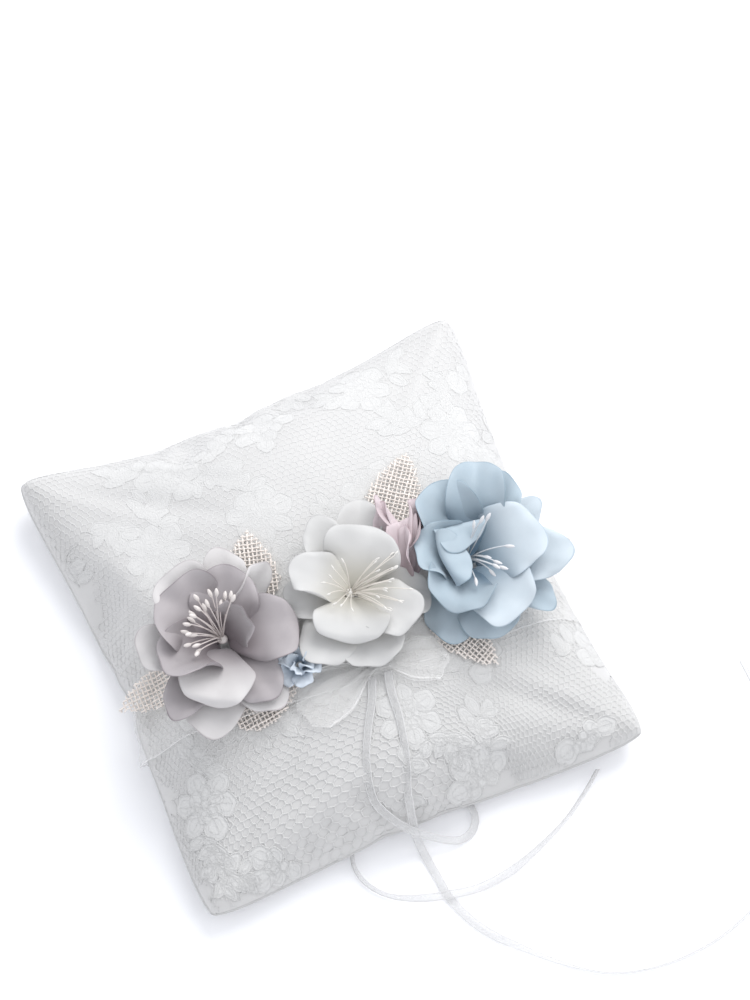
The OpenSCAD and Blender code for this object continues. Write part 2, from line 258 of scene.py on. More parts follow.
bpy.ops.object.select_all(action="DESELECT")
bpy.ops.mesh.primitive_plane_add(size=8, location=(0, 0, -0.2 * MM))
floor = bpy.context.object
floor.name = "floor"
floor.data.materials.append(plain_material("floor_white", (0.97, 0.97, 0.98), 0.9))


LIT_SPOT = np.array([0, -20, 20]) * MM      # both lights face this place in the cushion
SKY_COLOUR = (0.93, 0.95, 1, 1)


def soft_light(name, place, size, power):
    light = bpy.data.lights.new(name, "AREA")
    light.shape = "DISK"
    light.size = size
    light.energy = power
    lamp = bpy.data.objects.new(name, light)
    lamp.location = place
    towards = LIT_SPOT - np.array(place)
    yaw = math.atan2(towards[1], towards[0]) - math.pi / 2
    pitch = math.atan2(math.hypot(towards[0], towards[1]), -towards[2])
    lamp.rotation_euler = (pitch, 0, yaw)
    bpy.context.scene.collection.objects.link(lamp)


soft_light("key_light", (0.72, 0.72, 1.2), size=1.1, power=14.8)
soft_light("side_light", (1.1, -0.5, 1.2), size=1.2, power=2.6)
world = bpy.data.worlds.new("studio")
world.use_nodes = True
sky = world.node_tree.nodes["Background"].inputs
sky["Color"].default_value = SKY_COLOUR
sky["Strength"].default_value = 1.0
bpy.context.scene.world = world

# %% [markdown]
# ## The filled cushion
# The real cushion is two square panels sewn face to face, turned and stuffed. When the
# filling swells them, the middle of each side pulls in and the corners stay out as points.
# A cloth simulation does exactly that: two flat grids that share their rim are blown up by
# air pressure. Then the crown is eased to its height and the back pressed flat on the table.

# %% Sew two panels and inflate them
CELLS = 64                                  # cloth cells along each side
SEAM_Z = 6 * MM                             # height of the sewn edge, but for the corners
CORNER_ROUND = 0.035                        # how much of each corner is cut off round
CUT_ALLOWANCE = 1.03                        # the flat panels are a little larger
PANEL_GAP = 4 * MM                          # between the panels before they swell
panel_low, panel_high = np.array(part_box("front_panel"))
cushion_size = panel_high - panel_low       # corner to corner
crown_top = panel_high[2]
cushion_mid = (panel_low + panel_high) / 2


def sewn_panels(width, depth, gap):
    """Points and faces of two grids joined at their rim, and where each grid point is."""
    index = {}
    points = []
    for side in (1, -1):
        for i in range(CELLS + 1):
            for j in range(CELLS + 1):
                rim = i in (0, CELLS) or j in (0, CELLS)
                key = (i, j, 0 if rim else side)
                if key not in index:
                    index[key] = len(points)
                    u, v = 2 * i / CELLS - 1, 2 * j / CELLS - 1
                    rounded = 1 - CORNER_ROUND * abs(u * v) ** 9
                    points.append((width / 2 * u * rounded, depth / 2 * v * rounded,
                                   0 if rim else side * gap))
    grids = {}
    faces = []
    for side in (1, -1):
        grids[side] = np.array([[index.get((i, j, side), index.get((i, j, 0)))
                                 for j in range(CELLS + 1)] for i in range(CELLS + 1)])
        g = grids[side]
        for i in range(CELLS):
            for j in range(CELLS):
                face = (g[i, j], g[i + 1, j], g[i + 1, j + 1], g[i, j + 1])
                faces.append(tuple(int(k) for k in (face if side > 0 else face[::-1])))
    return np.array(points), faces, grids


panel_cut = cushion_size[:2] * CUT_ALLOWANCE
points, faces, grids = sewn_panels(*panel_cut, PANEL_GAP)
cushion = new_object("satin_cushion", points, faces)

# %% Blow the cushion up
PRESSURE = 5.2
FRAMES = 30                                 # the cloth has come to rest by then
CLOTH = dict(quality=6, mass=0.15, air_damping=5, tension_stiffness=15,
             compression_stiffness=15, shear_stiffness=5, bending_stiffness=0.5,
             use_pressure=True, uniform_pressure_force=PRESSURE)


def inflate(piece):
    modifier = piece.modifiers.new("Cloth", "CLOTH")
    for key, value in CLOTH.items():
        setattr(modifier.settings, key, value)
    modifier.settings.effector_weights.gravity = 0
    modifier.collision_settings.use_collision = False
    modifier.point_cache.frame_start = 1
    modifier.point_cache.frame_end = FRAMES
    scene = bpy.context.scene
    scene.frame_start, scene.frame_end = 1, FRAMES
    for step in range(1, FRAMES + 1):
        scene.frame_set(step)
    only(piece)
    bpy.ops.object.modifier_apply(modifier=modifier.name)


inflate(cushion)

# %% Ease the crown to its height and the corners to their places
LACE_ROOM = 0.8 * MM                        # the lace takes this much of the height
CORNER_REACH = 30 * MM
# Each corner is stuffed a little differently: its place as signs, then how far it moves.
CORNER_MOVES = (((-1, 1), (-3.4, 5, 10)), ((1, 1), (2.4, 4, 6)),
                ((-1, -1), (0.5, -1.8, 4)), ((1, -1), (3, -0.5, 6)))
co = points_of(cushion)
co -= (co.min(axis=0) + co.max(axis=0)) / 2
for axis in (0, 1):
    co[:, axis] *= cushion_size[axis] / (co[:, axis].max() - co[:, axis].min())
    co[:, axis] += cushion_mid[axis]
co[:, 2] *= np.where(co[:, 2] > 0, (crown_top - LACE_ROOM - SEAM_Z) / co[:, 2].max(), 1)
co[:, 2] += SEAM_Z
for signs, move in CORNER_MOVES:
    corner = np.array(signs) * cushion_size[:2] / 2
    away = np.linalg.norm(co[:, :2] - corner, axis=1)
    co += np.array(move) * MM * np.exp(-(away / CORNER_REACH) ** 2)[:, None]

# %% Press the back flat and let the filling be lumpy
PRESS = 1.5 * MM                            # how softly the back meets the table
TABLE_CLEAR = 0.6 * MM                      # what is lower than this lies on the table
LUMP_HEIGHT = 0.45 * MM
below = co[:, 2] < PRESS * 2
co[below, 2] = PRESS * np.exp(np.clip(co[below, 2] / PRESS - 2, -40, 0)) * 2
co[co[:, 2] < TABLE_CLEAR, 2] = 0
x, y = co[:, 0] / MM, co[:, 1] / MM
lumps = (np.sin(x / 11 + 1.3 * np.sin(y / 17)) * np.sin(y / 13 + 0.7)
         + 0.6 * np.sin(x / 6.5 + y / 8.1 + 2) * np.sin(y / 9.5 - x / 14))
co[:, 2] += LUMP_HEIGHT * lumps * smooth_step(SEAM_Z, SEAM_Z + 12 * MM, co[:, 2])
set_points(cushion, co)
add_and_apply(cushion, "SUBSURF", levels=1, render_levels=1)

# %% Leave a channel for the sash in the back
SASH_WIDTH = 25.0
SASH_SINK = 0.9 * MM


def sash_middle(x):
    """Y of the sash's middle at x, both in millimetres; it runs a little aslant."""
    return -25.5 - 0.075 * x


def channel(x, y):
    """How far the sash has pressed into the back at (x, y), in metres."""
    off_middle = np.abs(y - sash_middle(x / MM) * MM)
    return SASH_SINK * (1 - smooth_step(13 * MM, 17 * MM, off_middle))


co = points_of(cushion)
co[:, 2] = np.maximum(co[:, 2], channel(co[:, 0], co[:, 1]))
set_points(cushion, co)
front_grid = co[grids[1]]
back_grid = co[grids[-1]]
print("cushion size in mm:", np.round((co.max(axis=0) - co.min(axis=0)) / MM, 1))


# %% Places on the cushion
def on_panel(grid, s, t, height=0.0, side=1):
    """Points at (s, t) on a panel, from 0 to 1 across it, raised off its face."""
    x = np.clip(np.atleast_1d(s), 0, 1) * CELLS
    y = np.clip(np.atleast_1d(t), 0, 1) * CELLS
    i = np.minimum(x.astype(int), CELLS - 1)
    j = np.minimum(y.astype(int), CELLS - 1)
    wx, dx = spline_weights(x - i)
    wy, dy = spline_weights(y - j)
    spot, along_s, along_t = np.zeros((3, len(x), 3))
    for a in range(4):
        for b in range(4):
            near = grid[np.clip(i + a - 1, 0, CELLS), np.clip(j + b - 1, 0, CELLS)]
            spot += (wx[a] * wy[b])[:, None] * near
            along_s += (dx[a] * wy[b])[:, None] * near
            along_t += (wx[a] * dy[b])[:, None] * near
    normal = unit(np.cross(along_s, along_t) * side)
    return spot + normal * np.broadcast_to(height, len(x))[:, None], normal


def panel_place(x, y):
    """The (s, t) of a place given in millimetres from the cushion's middle."""
    return 0.5 + x * MM / cushion_size[0], 0.5 + y * MM / cushion_size[1]


def front_height(x, y):
    """Height of the cushion's front above the table at a place in millimetres."""
    return on_panel(front_grid, *panel_place(x, y))[0][0, 2] / MM

# %% [markdown]
# ## Ring ribbons
# Two narrow sheer ribbons leave the bow's knot, slip over the front edge and lie on the table
# in loose curves with cut ends. Each is a flat strip with thicker woven edges, swept along
# a given route. On the lace it lies flat, and on the table it tips up on its edge,
# because a stiff narrow ribbon can only turn a tight curve standing.

# %% Ribbon routes, in millimetres
RIBBON_WIDTH = 3.6 * MM


def over_cushion(*places):
    """Route points at each (x, y, height above the satin)."""
    return [[x, y, front_height(x, y) + up] for x, y, up in places]


def on_table(*places):
    return [[x, y, 0.6] for x, y in places]


left_route = over_cushion(
    (1, -43, 2.2), (-3, -52, 1.6), (-9, -62, 1.3), (-14, -72, 1.3), (-17, -81, 1.3),
    (-17.5, -88, 1.5), (-15.5, -93, 2.2)
) + [[-11, -98.5, 21], [-5, -103, 13.5], [1, -106.5, 8.5], [7, -109.5, 4.5], [13, -111, 1.6]]
left_route += on_table((19, -109), (22.5, -104), (22, -97), (16, -91), (5, -88), (-10, -88),
                       (-23, -91), (-31, -97), (-33.5, -105), (-31, -114), (-24, -122))
left_route += [[-13, -127.5, 1.1], [-1.5, -131, 2.4], [14, -133, 0.9]]
left_route += on_table((33, -130), (55, -121.5), (69, -113), (79, -105.5))
right_route = over_cushion(
    (8, -43, 2.2), (6, -52, 1.6), (5, -62, 1.3), (3, -72, 1.3), (0, -82, 1.3), (-3, -90, 1.8)
) + [[-4.6, -97.5, 26], [-4.8, -102, 13], [-4.4, -106.5, 3.6], [-3.6, -113, 0.8]]
right_route += on_table((-2.6, -122), (-1, -134), (5.5, -149), (17, -163), (31, -177),
                        (47, -188.5), (66, -194), (86, -194.5), (104, -191), (121, -183.5),
                        (136, -172), (146, -158), (152, -142), (155, -124), (156, -105),
                        (155.5, -85))
# How far each ribbon tips, in degrees, at places along its length in metres.
left_tip = [(0, 6), (0.03, 30), (0.05, 12), (0.07, 40), (0.1, 35), (0.115, 22), (0.142, 24),
            (0.16, 58), (0.19, 66), (0.21, 74), (0.228, 30), (0.238, 12), (0.262, 12),
            (0.275, -30), (0.29, -58), (0.34, -62)]
right_tip = [(0, -8), (0.025, 34), (0.045, 8), (0.07, 24), (0.1, 10), (0.112, 8), (0.137, 10),
             (0.155, -40), (0.18, -68), (0.4, -72)]


# %% Sweep a ribbon
RIBBON_STEP = 1.6 * MM
# The section, as places across the ribbon and over its middle, with two thicker woven edges.
RIBBON_SECTION = np.array([
    (-1.8, 0.05), (-1.6, 0.26), (-1.3, 0.1), (-0.6, 0.07), (0.6, 0.07), (1.3, 0.1),
    (1.6, 0.26), (1.8, 0.05), (1.6, -0.2), (1.3, -0.07), (0, -0.07), (-1.3, -0.07),
    (-1.6, -0.2)]) * MM


def ribbon_strip(name, route, tip):
    """A flat strip along a route; its UV runs across it, and along it in widths."""
    path, length = resample(np.array(route) * MM, RIBBON_STEP)
    rings = len(path)
    along = directions(path)
    level = unit(np.cross([0, 0, 1], along))
    up = np.cross(along, level)
    run = np.arange(rings) * RIBBON_STEP
    tip = np.radians(np.interp(run, *zip(*tip)))
    path[:, 2] += np.abs(np.sin(tip)) * RIBBON_WIDTH / 2
    verts = []
    uv = []
    for i in range(rings):
        across = level[i] * math.cos(tip[i]) + up[i] * math.sin(tip[i])
        over = np.cross(along[i], across)
        for x, z in RIBBON_SECTION:
            verts.append(path[i] + across * x + over * z)
            uv.append((0.5 + x / RIBBON_WIDTH, run[i] / RIBBON_WIDTH))
    verts = np.array(verts)
    verts[:, 2] = np.maximum(verts[:, 2], 0.02 * MM)
    piece = new_object(name, verts, swept_faces(0, rings, len(RIBBON_SECTION)), uv)
    print(name, "is", round(length, 3), "m long")
    return piece, path, length


ribbons = {}
for side, route, tip in (("left", left_route, left_tip), ("right", right_route, right_tip)):
    ribbons[side] = ribbon_strip("ribbon_tail_" + side, route, tip)

# %% [markdown]
# ## Lace
# The lace is a net of small six-sided cells with denser flowers and leaves worked into it,
# each edged by a raised cord. It could be a picture with holes, but real threads catch the
# light at every angle, so the net is built thread by thread on the flat panel and then laid
# on the swollen cushion through the panel's own coordinates.

# %% Motifs of the lace, in millimetres on the flat panel
NET_CELL = 2.75
LACE_THREAD = np.array([0.34, 0.29])        # half width and height of a net thread
LACE_CORD = np.array([0.35, 0.34])          # the same of the cord round a motif
NET_MARGIN = 0.6                            # the net stops this far inside the seam
NET_WANDER = 0.9                            # how far rows of cells wander,
NET_UNEVEN = 0.28                           # and how far single knots lie off their place
COARSE_AT = np.array([-30.0, -96.0])        # the cells open up here,
COARSE_MORE = np.array([0.85, 0.3])         # more along the edge than across it
COARSE_SPREAD = 34.0
# Places where the net is left open: x, y and radius.
OPEN_NET = [(-32, -80, 32), (-90, 86, 24), (22, 60, 22), (88, 92, 18), (64, -72, 22),
            (-84, 8, 15), (-30, 96, 14)]
half_panel = cushion_size[:2] / MM / 2
lace_random = np.random.default_rng(12)


def open_up(p):
    """Stretch the net where it is coarse, and let it wander as hand-sewn lace does."""
    away = p - COARSE_AT
    swell = np.exp(-(away ** 2).sum(axis=1) / (2 * COARSE_SPREAD ** 2))
    eased = p + away * COARSE_MORE * swell[:, None]
    x, y = p.T
    wave = np.column_stack([np.sin(y / 13 + 1) + np.sin(x / 21),
                            np.sin(x / 15 + 2) + np.sin(y / 19)])
    uneven = np.column_stack([np.sin(2.3 * x + 1.7 * y), np.sin(1.9 * y - 2.6 * x + 1)])
    return eased + NET_WANDER * wave + NET_UNEVEN * uneven


def relief(p):
    """The lace stands up more where it is stretched over the front and left edges."""
    x, y = p.T
    return 0.42 + 1.25 * np.maximum(smooth_step(10, -75, y), 0.6 * smooth_step(-72, -98, x))


def oval_outline(shape, count, scale=1.0):
    """A wavy oval round a shape, which is a centre, a turn, two radii and a point.

    The point runs from 0 to 1 and sharpens both ends, as on a leaf.
    """
    centre, turn, long_r, wide_r, point = shape
    a = np.linspace(0, 2 * math.pi, count, endpoint=False)
    x = scale * long_r * np.cos(a)
    y = scale * wide_r * np.sin(a) * (1 - point * np.cos(a) ** 2)
    wavy = 1 + 0.07 * np.sin(5 * a + turn * 3 + centre[0])
    c, s = math.cos(turn), math.sin(turn)
    return np.column_stack([centre[0] + (x * c - y * s) * wavy,
                            centre[1] + (x * s + y * c) * wavy])


def varied(value, share=0.16):
    return value * lace_random.uniform(1 - share, 1 + share)


def bloom(cx, cy, r, turn, petals):
    """A lace rose: two rings of petals round an eye."""
    shapes = []
    for ring_r, ring_turn, long_r, wide_r in ((0.7, 0, 0.36, 0.34), (0.34, 0.5, 0.24, 0.24)):
        for k in range(petals):
            a = turn + (2 * math.pi * (k + ring_turn) + lace_random.uniform(-0.3, 0.3)) / petals
            place = (cx + varied(ring_r * r, 0.08) * math.cos(a),
                     cy + varied(ring_r * r, 0.08) * math.sin(a))
            shapes.append((place, a, varied(long_r * r), varied(wide_r * r), 0.0))
    shapes.append(((cx, cy), turn, 0.15 * r, 0.15 * r, 0.0))
    return shapes


def spray(cx, cy, r, turn):
    """A stem with leaves in pairs, growing away from a rose."""
    shapes = []
    stem = []
    for k in range(9):
        f = k / 8
        a = turn + 0.55 * math.sin(f * 2.6)
        stem.append((cx + r * (1 + 1.5 * f) * math.cos(a), cy + r * (1 + 1.5 * f) * math.sin(a)))
    for k in (1, 3, 5, 7):
        for hand in (-1, 1):
            a = turn + hand * varied(0.9)
            x = stem[k][0] + 0.4 * r * math.cos(a)
            y = stem[k][1] + 0.4 * r * math.sin(a)
            shapes.append(((x, y), a, varied(0.44 * r), varied(0.24 * r), 0.4))
    shapes.append((stem[-1], turn + 0.3, 0.45 * r, 0.26 * r, 0.4))
    return shapes, stem


def in_open_net(place):
    return any(math.hypot(place[0] - x, place[1] - y) < r for x, y, r in OPEN_NET)


# %% Scatter the motifs
REPEAT_X = 45.0
REPEAT_Y = 35.0
solid_shapes = []
stems = []
for row in range(-3, 4):
    for column in range(-3, 4):
        cx = (column + 0.5 * (row % 2)) * REPEAT_X + 6 + 3 * math.sin(row * 2.1)
        cy = row * REPEAT_Y + 9 + 3 * math.sin(column * 1.7)
        turn = 0.5 + 0.9 * (row % 3) + 0.4 * column
        solid_shapes += bloom(cx, cy, varied(13.5, 0.1), turn, 6 + row % 2)
        for k in range(2):
            leaves_here, stem = spray(cx, cy, varied(11, 0.1), turn + 0.35 + k * math.pi)
            solid_shapes += leaves_here
            stems.append(stem)
solid_shapes = [shape for shape in solid_shapes if not in_open_net(shape[0])]
stems = [stem for stem in stems if not in_open_net(stem[4])]
print("lace motifs:", len(solid_shapes), "worked shapes,", len(stems), "stems")


# %% The net between the motifs
def inside_any(p, shapes):
    """Which of the points lie inside a motif."""
    hit = np.zeros(len(p), dtype=bool)
    for centre, turn, long_r, wide_r, point in shapes:
        c, s = math.cos(turn), math.sin(turn)
        x, y = ((p - centre) @ [[c, -s], [s, c]]).T
        narrowing = 1 - point * np.clip(x / long_r, -1, 1) ** 2
        hit |= (x / long_r) ** 2 + (y / (wide_r * narrowing)) ** 2 < 1.0
    return hit


def net_edges():
    """Both ends of every thread of the net, in millimetres on the flat panel."""
    a = NET_CELL / math.sqrt(3)
    span = int(half_panel[0] / NET_CELL) + 8
    i, j = np.meshgrid(np.arange(-span, span), np.arange(-span, span), indexing="ij")
    i, j = i.ravel(), j.ravel()
    here = np.column_stack([(i + j % 2 / 2) * NET_CELL, j * 1.5 * a])
    shifts = np.array([(0, a), (-NET_CELL / 2, -a / 2), (NET_CELL / 2, -a / 2)])
    start = open_up(np.vstack([here] * len(shifts)))
    end = open_up(np.vstack([here + shift for shift in shifts]))
    keep = (np.abs(start) < half_panel - NET_MARGIN).all(axis=1)
    keep &= (np.abs(end) < half_panel - NET_MARGIN).all(axis=1)
    keep &= ~inside_any((start + end) / 2, solid_shapes)
    return start[keep], end[keep]


# %% Lay threads and motifs on the front
def lay(p, height):
    """Points and normals over the satin, for places and heights in millimetres."""
    s, t = panel_place(*p.T)
    return on_panel(front_grid, s, t, height * MM)


def thread_ridges(start, end, section, lift):
    """A low rounded ridge of thread between each pair of panel points."""
    half_width, height = section
    raised = relief(start)[:, None]
    (start_at, start_up), (end_at, end_up) = lay(start, lift), lay(end, lift)
    along = unit(end_at - start_at)
    corners = []
    for place, normal in ((start_at, start_up), (end_at, end_up)):
        across = np.cross(normal, along)
        for side, over in ((1, 0), (0, 1), (-1, 0)):
            corners.append(place + (across * side * half_width * (0.7 + 0.3 * raised)
                                    + normal * over * height * raised) * MM)
    verts = np.stack(corners, axis=1).reshape(-1, 3)
    base = np.arange(len(start)) * len(corners)
    faces = [np.column_stack([base + k + 1, base + k, base + k + 3, base + k + 4])
             for k in range(2)]
    return verts, np.vstack(faces)


MOTIF_SIDES = 16
MOTIF_RINGS = (0.34, 0.68, 1.0)             # as shares of the outline
MOTIF_HEIGHTS = (0.26, 0.32, 0.06)          # of those rings, in millimetres
MOTIF_MIDDLE = 0.12
MOTIF_MARGIN = 0.8                          # motifs stop this far inside the seam,
HEM_MARGIN = 0.3                            # and the cord along the sides at this
HEM_POINTS = 80
OUTLINE_SIDES = 18
INNER_SIDES = 12
INNER_FROM = 3.0                            # longer motifs have an inner ring,
VEIN_FROM = 3.4                             # and still longer ones a vein


def worked_shape(shape):
    """A filled motif: rings of points from its middle to its outline."""
    rings = [oval_outline(shape, MOTIF_SIDES, share) for share in MOTIF_RINGS]
    flat = np.vstack([[shape[0]], *rings])
    heights = np.concatenate([[MOTIF_MIDDLE], np.repeat(MOTIF_HEIGHTS, MOTIF_SIDES)])
    following = [(k, (k + 1) % MOTIF_SIDES) for k in range(MOTIF_SIDES)]
    faces = [(0, 1 + a, 1 + b) for a, b in following]
    for first in (1, 1 + MOTIF_SIDES):
        for a, b in following:
            faces.append((first + a, first + a + MOTIF_SIDES, first + b + MOTIF_SIDES, first + b))
    return flat, heights, faces


def inside_panel(p):
    return bool((np.abs(p) < half_panel - MOTIF_MARGIN).all())


def motif_lines(shape):
    """The raised cords of a motif: its outline, and on a large one an inner ring and a vein."""
    centre, turn, long_r = np.array(shape[0]), shape[1], shape[2]
    loops = [oval_outline(shape, OUTLINE_SIDES)]
    if long_r > INNER_FROM:
        loops.append(oval_outline(shape, INNER_SIDES, 0.6))
    lines = [np.vstack([loop, loop[:1]]) for loop in loops]
    if long_r > VEIN_FROM:
        reach = np.linspace(-0.9, 0.6, 5)[:, None] * long_r
        bow = 0.12 * long_r * np.sin(np.linspace(0, 3, 5))[:, None]
        lines.append(centre + reach * np.array([math.cos(turn), math.sin(turn)])
                     + bow * np.array([-math.sin(turn), math.cos(turn)]))
    return lines


def hem_lines():
    """A cord along each side of the panel, just inside the seam."""
    half_x, half_y = half_panel - HEM_MARGIN
    edge = np.linspace(-1, 1, HEM_POINTS)
    level = np.ones(HEM_POINTS)
    return ([np.column_stack([edge * half_x, level * half_y * side]) for side in (-1, 1)]
            + [np.column_stack([level * half_x * side, edge * half_y]) for side in (-1, 1)])


def build_lace():
    parts = [thread_ridges(*net_edges(), LACE_THREAD, 0.05)]
    lines = hem_lines() + [np.array(stem) for stem in stems if inside_panel(np.array(stem))]
    for shape in solid_shapes:
        if inside_panel(oval_outline(shape, OUTLINE_SIDES)):
            flat, heights, patch = worked_shape(shape)
            parts.append((lay(flat, heights * relief(flat))[0], patch))
            lines += motif_lines(shape)
    start = np.vstack([line[:-1] for line in lines])
    end = np.vstack([line[1:] for line in lines])
    parts.append(thread_ridges(start, end, LACE_CORD, 0.12))
    verts = np.vstack([part[0] for part in parts])
    verts[:, 2] = np.maximum(verts[:, 2], 0)
    faces = []
    base = 0
    for part_verts, part_faces in parts:
        faces += [tuple(int(k) + base for k in face) for face in part_faces]
        base += len(part_verts)
    print("lace:", len(verts), "points,", len(faces), "faces")
    return new_object("lace_front", verts, faces)


lace = build_lace()

# %% [markdown]
# ## Moulded petals
# Flower makers cut petals from stiffened satin, press each one between heated moulds into a
# cup, and glue them round a bound stem. So a petal starts here as a flat disc of cloth with a
# narrow root. It is folded where the maker curled it, cupped across, and bent along its
# length. Writing each petal as lift, bend and cup keeps every one different, as hand work is.

# %% What makes one petal differ from the next
PETAL_CELLS = 20
PETAL_CLOTH = 0.4 * MM
ROUNDNESS = 0.44                            # 0 leaves a square petal, 0.5 makes it round


def petal(turn, lift, bend, length, width, root, cup=0.6, lip=0.8, roll=0, wave=0.9,
          folds=()):
    """Angles in degrees, sizes in millimetres. A fold is (turn, place, angle, radius)."""
    return dict(turn=turn, lift=lift, bend=bend, length=length, width=width, root=root,
                cup=cup, lip=lip, roll=roll, wave=wave, folds=folds)


# %% Fold and bend the flat cloth
BEND_REACH = 1.1                            # the bend is worked out a little past the tip,
BEND_STEPS = 110                            # in this many steps
STEM_RADIUS = 1.2


def cos_sin(degrees):
    return math.cos(math.radians(degrees)), math.sin(math.radians(degrees))


def folded(x, y, p):
    """Curl the flat cloth over each fold line; returns the moved place and its height."""
    moved_x, moved_y, height = x.copy(), y.copy(), np.zeros_like(x)
    for turn, place, angle, radius in p["folds"]:
        c, s = cos_sin(turn)
        past = np.maximum(x * c + (y - p["length"] / 2) * s - place, 0)
        full = math.radians(abs(angle))
        rolled = np.minimum(past / radius, full)
        rest = past - rolled * radius
        forward = radius * np.sin(rolled) + rest * math.cos(full)
        raised = radius * (1 - np.cos(rolled)) + rest * math.sin(full)
        moved_x += (forward - past) * c
        moved_y += (forward - past) * s
        height += math.copysign(1, angle) * raised
    return moved_x, moved_y, height


def bent(x, y, height, rim, edge_angle, p):
    """Bend the cloth along and across, and lay it out from the stem in its direction."""
    length, turn = p["length"], p["turn"]
    s = np.linspace(0, BEND_REACH, BEND_STEPS + 1)
    slope = np.radians(p["lift"] - p["bend"] * s ** 1.3)
    step = length * BEND_REACH / BEND_STEPS
    reach = STEM_RADIUS + np.concatenate([[0], np.cumsum(np.cos(slope[:-1]))]) * step
    rise = p["root"] + np.concatenate([[0], np.cumsum(np.sin(slope[:-1]))]) * step
    at = np.clip(y / length, 0, BEND_REACH)
    theta, r, z = (np.interp(at, s, values) for values in (slope, reach, rise))
    cup = p["cup"] * (0.4 + 0.6 * smooth_step(0.1, 0.6, at)) * (1 - 0.3 * smooth_step(0.75, 1, at))
    x = x / np.sinc(p["cup"] / math.pi)         # so that the cupped petal keeps its width
    angle = cup * x / (p["width"] / 2)
    side = x * np.sinc(angle / math.pi)
    up = x * angle / 2 * np.sinc(angle / 2 / math.pi) ** 2
    up += height - p["lip"] * smooth_step(0.7, 1.02, rim) ** 2
    ruffle = np.sin(edge_angle * 3 + turn) + 0.5 * np.sin(edge_angle * 7 + 2 * turn)
    crease = np.sin(x / p["width"] * 16 + turn) * (0.3 + 0.7 * np.cos(3 * at + turn))
    up += p["wave"] * (rim ** 3 * ruffle + 0.2 * crease) * smooth_step(0.15, 0.5, at)
    roll = np.radians(p["roll"]) * smooth_step(0, 0.7, at)
    side, up = (side * np.cos(roll) - up * np.sin(roll), side * np.sin(roll) + up * np.cos(roll))
    r = r - up * np.sin(theta)
    z = z + up * np.cos(theta)
    c, d = cos_sin(turn)
    return np.column_stack([r * c - side * d, r * d + side * c, z])


# %% Make one petal
def make_petal(name, centre, p):
    bpy.ops.object.select_all(action="DESELECT")
    bpy.ops.mesh.primitive_grid_add(x_subdivisions=PETAL_CELLS, y_subdivisions=PETAL_CELLS,
                                    size=2)
    piece = bpy.context.object
    piece.name = piece.data.name = name
    square_x, square_y = points_of(piece)[:, :2].T
    disc_x = square_x * np.sqrt(1 - square_y ** 2 * ROUNDNESS)
    disc_y = square_y * np.sqrt(1 - square_x ** 2 * ROUNDNESS)
    rim = np.maximum(np.abs(square_x), np.abs(square_y))
    round_angle = np.arctan2(disc_y, disc_x)
    uneven = 1 + rim * (0.05 * np.sin(3 * round_angle + p["turn"])
                        + 0.03 * np.sin(5 * round_angle + 2 * p["turn"]))
    narrow = 0.46 + 0.54 * smooth_step(-1, 0.1, disc_y * uneven)
    flat_x = disc_x * uneven * narrow * p["width"] / 2
    flat_y = (disc_y * uneven + 1) / 2 * p["length"]
    x, y, height = folded(flat_x, flat_y, p)
    co = bent(x, y, height, rim, round_angle, p)
    set_points(piece, co * MM + np.array(centre) * MM)
    piece.data.uv_layers[0].name = "cloth"
    set_uv(piece, "cloth", np.column_stack([flat_x, flat_y]) / 10)
    set_uv(piece, "place", np.column_stack([flat_y / p["length"], rim]))
    add_and_apply(piece, "SOLIDIFY", thickness=PETAL_CLOTH, offset=0)
    add_and_apply(piece, "SUBSURF", levels=1, render_levels=1)
    return piece


# %% Petals of the three flowers
lilac_at = [-51, -7, 52]
lilac_petals = [
    petal(120, 33, 12, 34, 35, 2.6, cup=0.75, lip=1.4, wave=2.6),
    petal(66, 35, 16, 32, 30, 3.2, cup=0.6, wave=2.2, lip=1.2),
    petal(22, 46, -40, 25, 22, 3.4, cup=1.0, lip=0.6, wave=1.6),
    petal(-12, 29, 30, 33, 29, 4.6, cup=0.5, lip=1.4, wave=1.2),
    petal(-72, 23, 26, 32, 25, 1.6, cup=0.7, wave=1.3, lip=1.4),
    petal(-122, 34, 36, 33, 33, 4.8, cup=0.4, wave=0.9, folds=[(90, 11.5, -75, 1.8)]),
    petal(-172, 36, 16, 32, 28, 3.0, cup=1.15, wave=1.4, roll=16),
    petal(108, 25, 8, 39, 30, 0.2, cup=0.7, lip=1.8, wave=1.4),
    petal(67, 23, 18, 40, 22, 0.8, cup=0.6),
    petal(40, 25, 12, 38, 17, 0.2, cup=0.8, roll=50),
    petal(165, 18, 8, 37, 24, 0.6, cup=0.8),
    petal(-147, 18, 16, 39, 20, 1.0, cup=0.5),
    petal(-122, 15, 24, 40, 28, 0.6, cup=-0.3, lip=0, wave=0.6),
    petal(-72, 11, 14, 35, 26, 0.0, cup=0.3, roll=-10),
]
white_at = [7.5, -9, 56]
white_petals = [
    petal(56, 36, 18, 29, 33, 2.6, cup=0.5, lip=0.8, wave=1.5),
    petal(141, 34, 30, 29, 23, 3.4, cup=0.6, wave=1.4, folds=[(0, 7, 125, 1.4)]),
    petal(-119, 34, 42, 25, 32, 4.6, cup=0.6, lip=1.4, wave=0.9),
    petal(-52, 28, 34, 30, 26, 3.4, cup=0.55, lip=1.2, wave=1.4),
    petal(97, 20, 14, 35, 21, 1.6, cup=0.7, wave=1.2),
    petal(63, 12, 8, 41, 20, 0.2, cup=0.5),
    petal(-24, 12, 20, 32, 21, 0.8, cup=0.5, wave=1.2),
    petal(-142, 14, 10, 35, 26, 0.8, cup=-0.15, lip=0.6, wave=1.4),
    petal(-94, 10, 10, 33, 28, 0.8, cup=-0.1, lip=0.4, wave=1.4),
    petal(165, 14, 20, 29, 20, 0.9, cup=0.5, wave=1.2),
]
blue_at = [58.5, -15, 50]
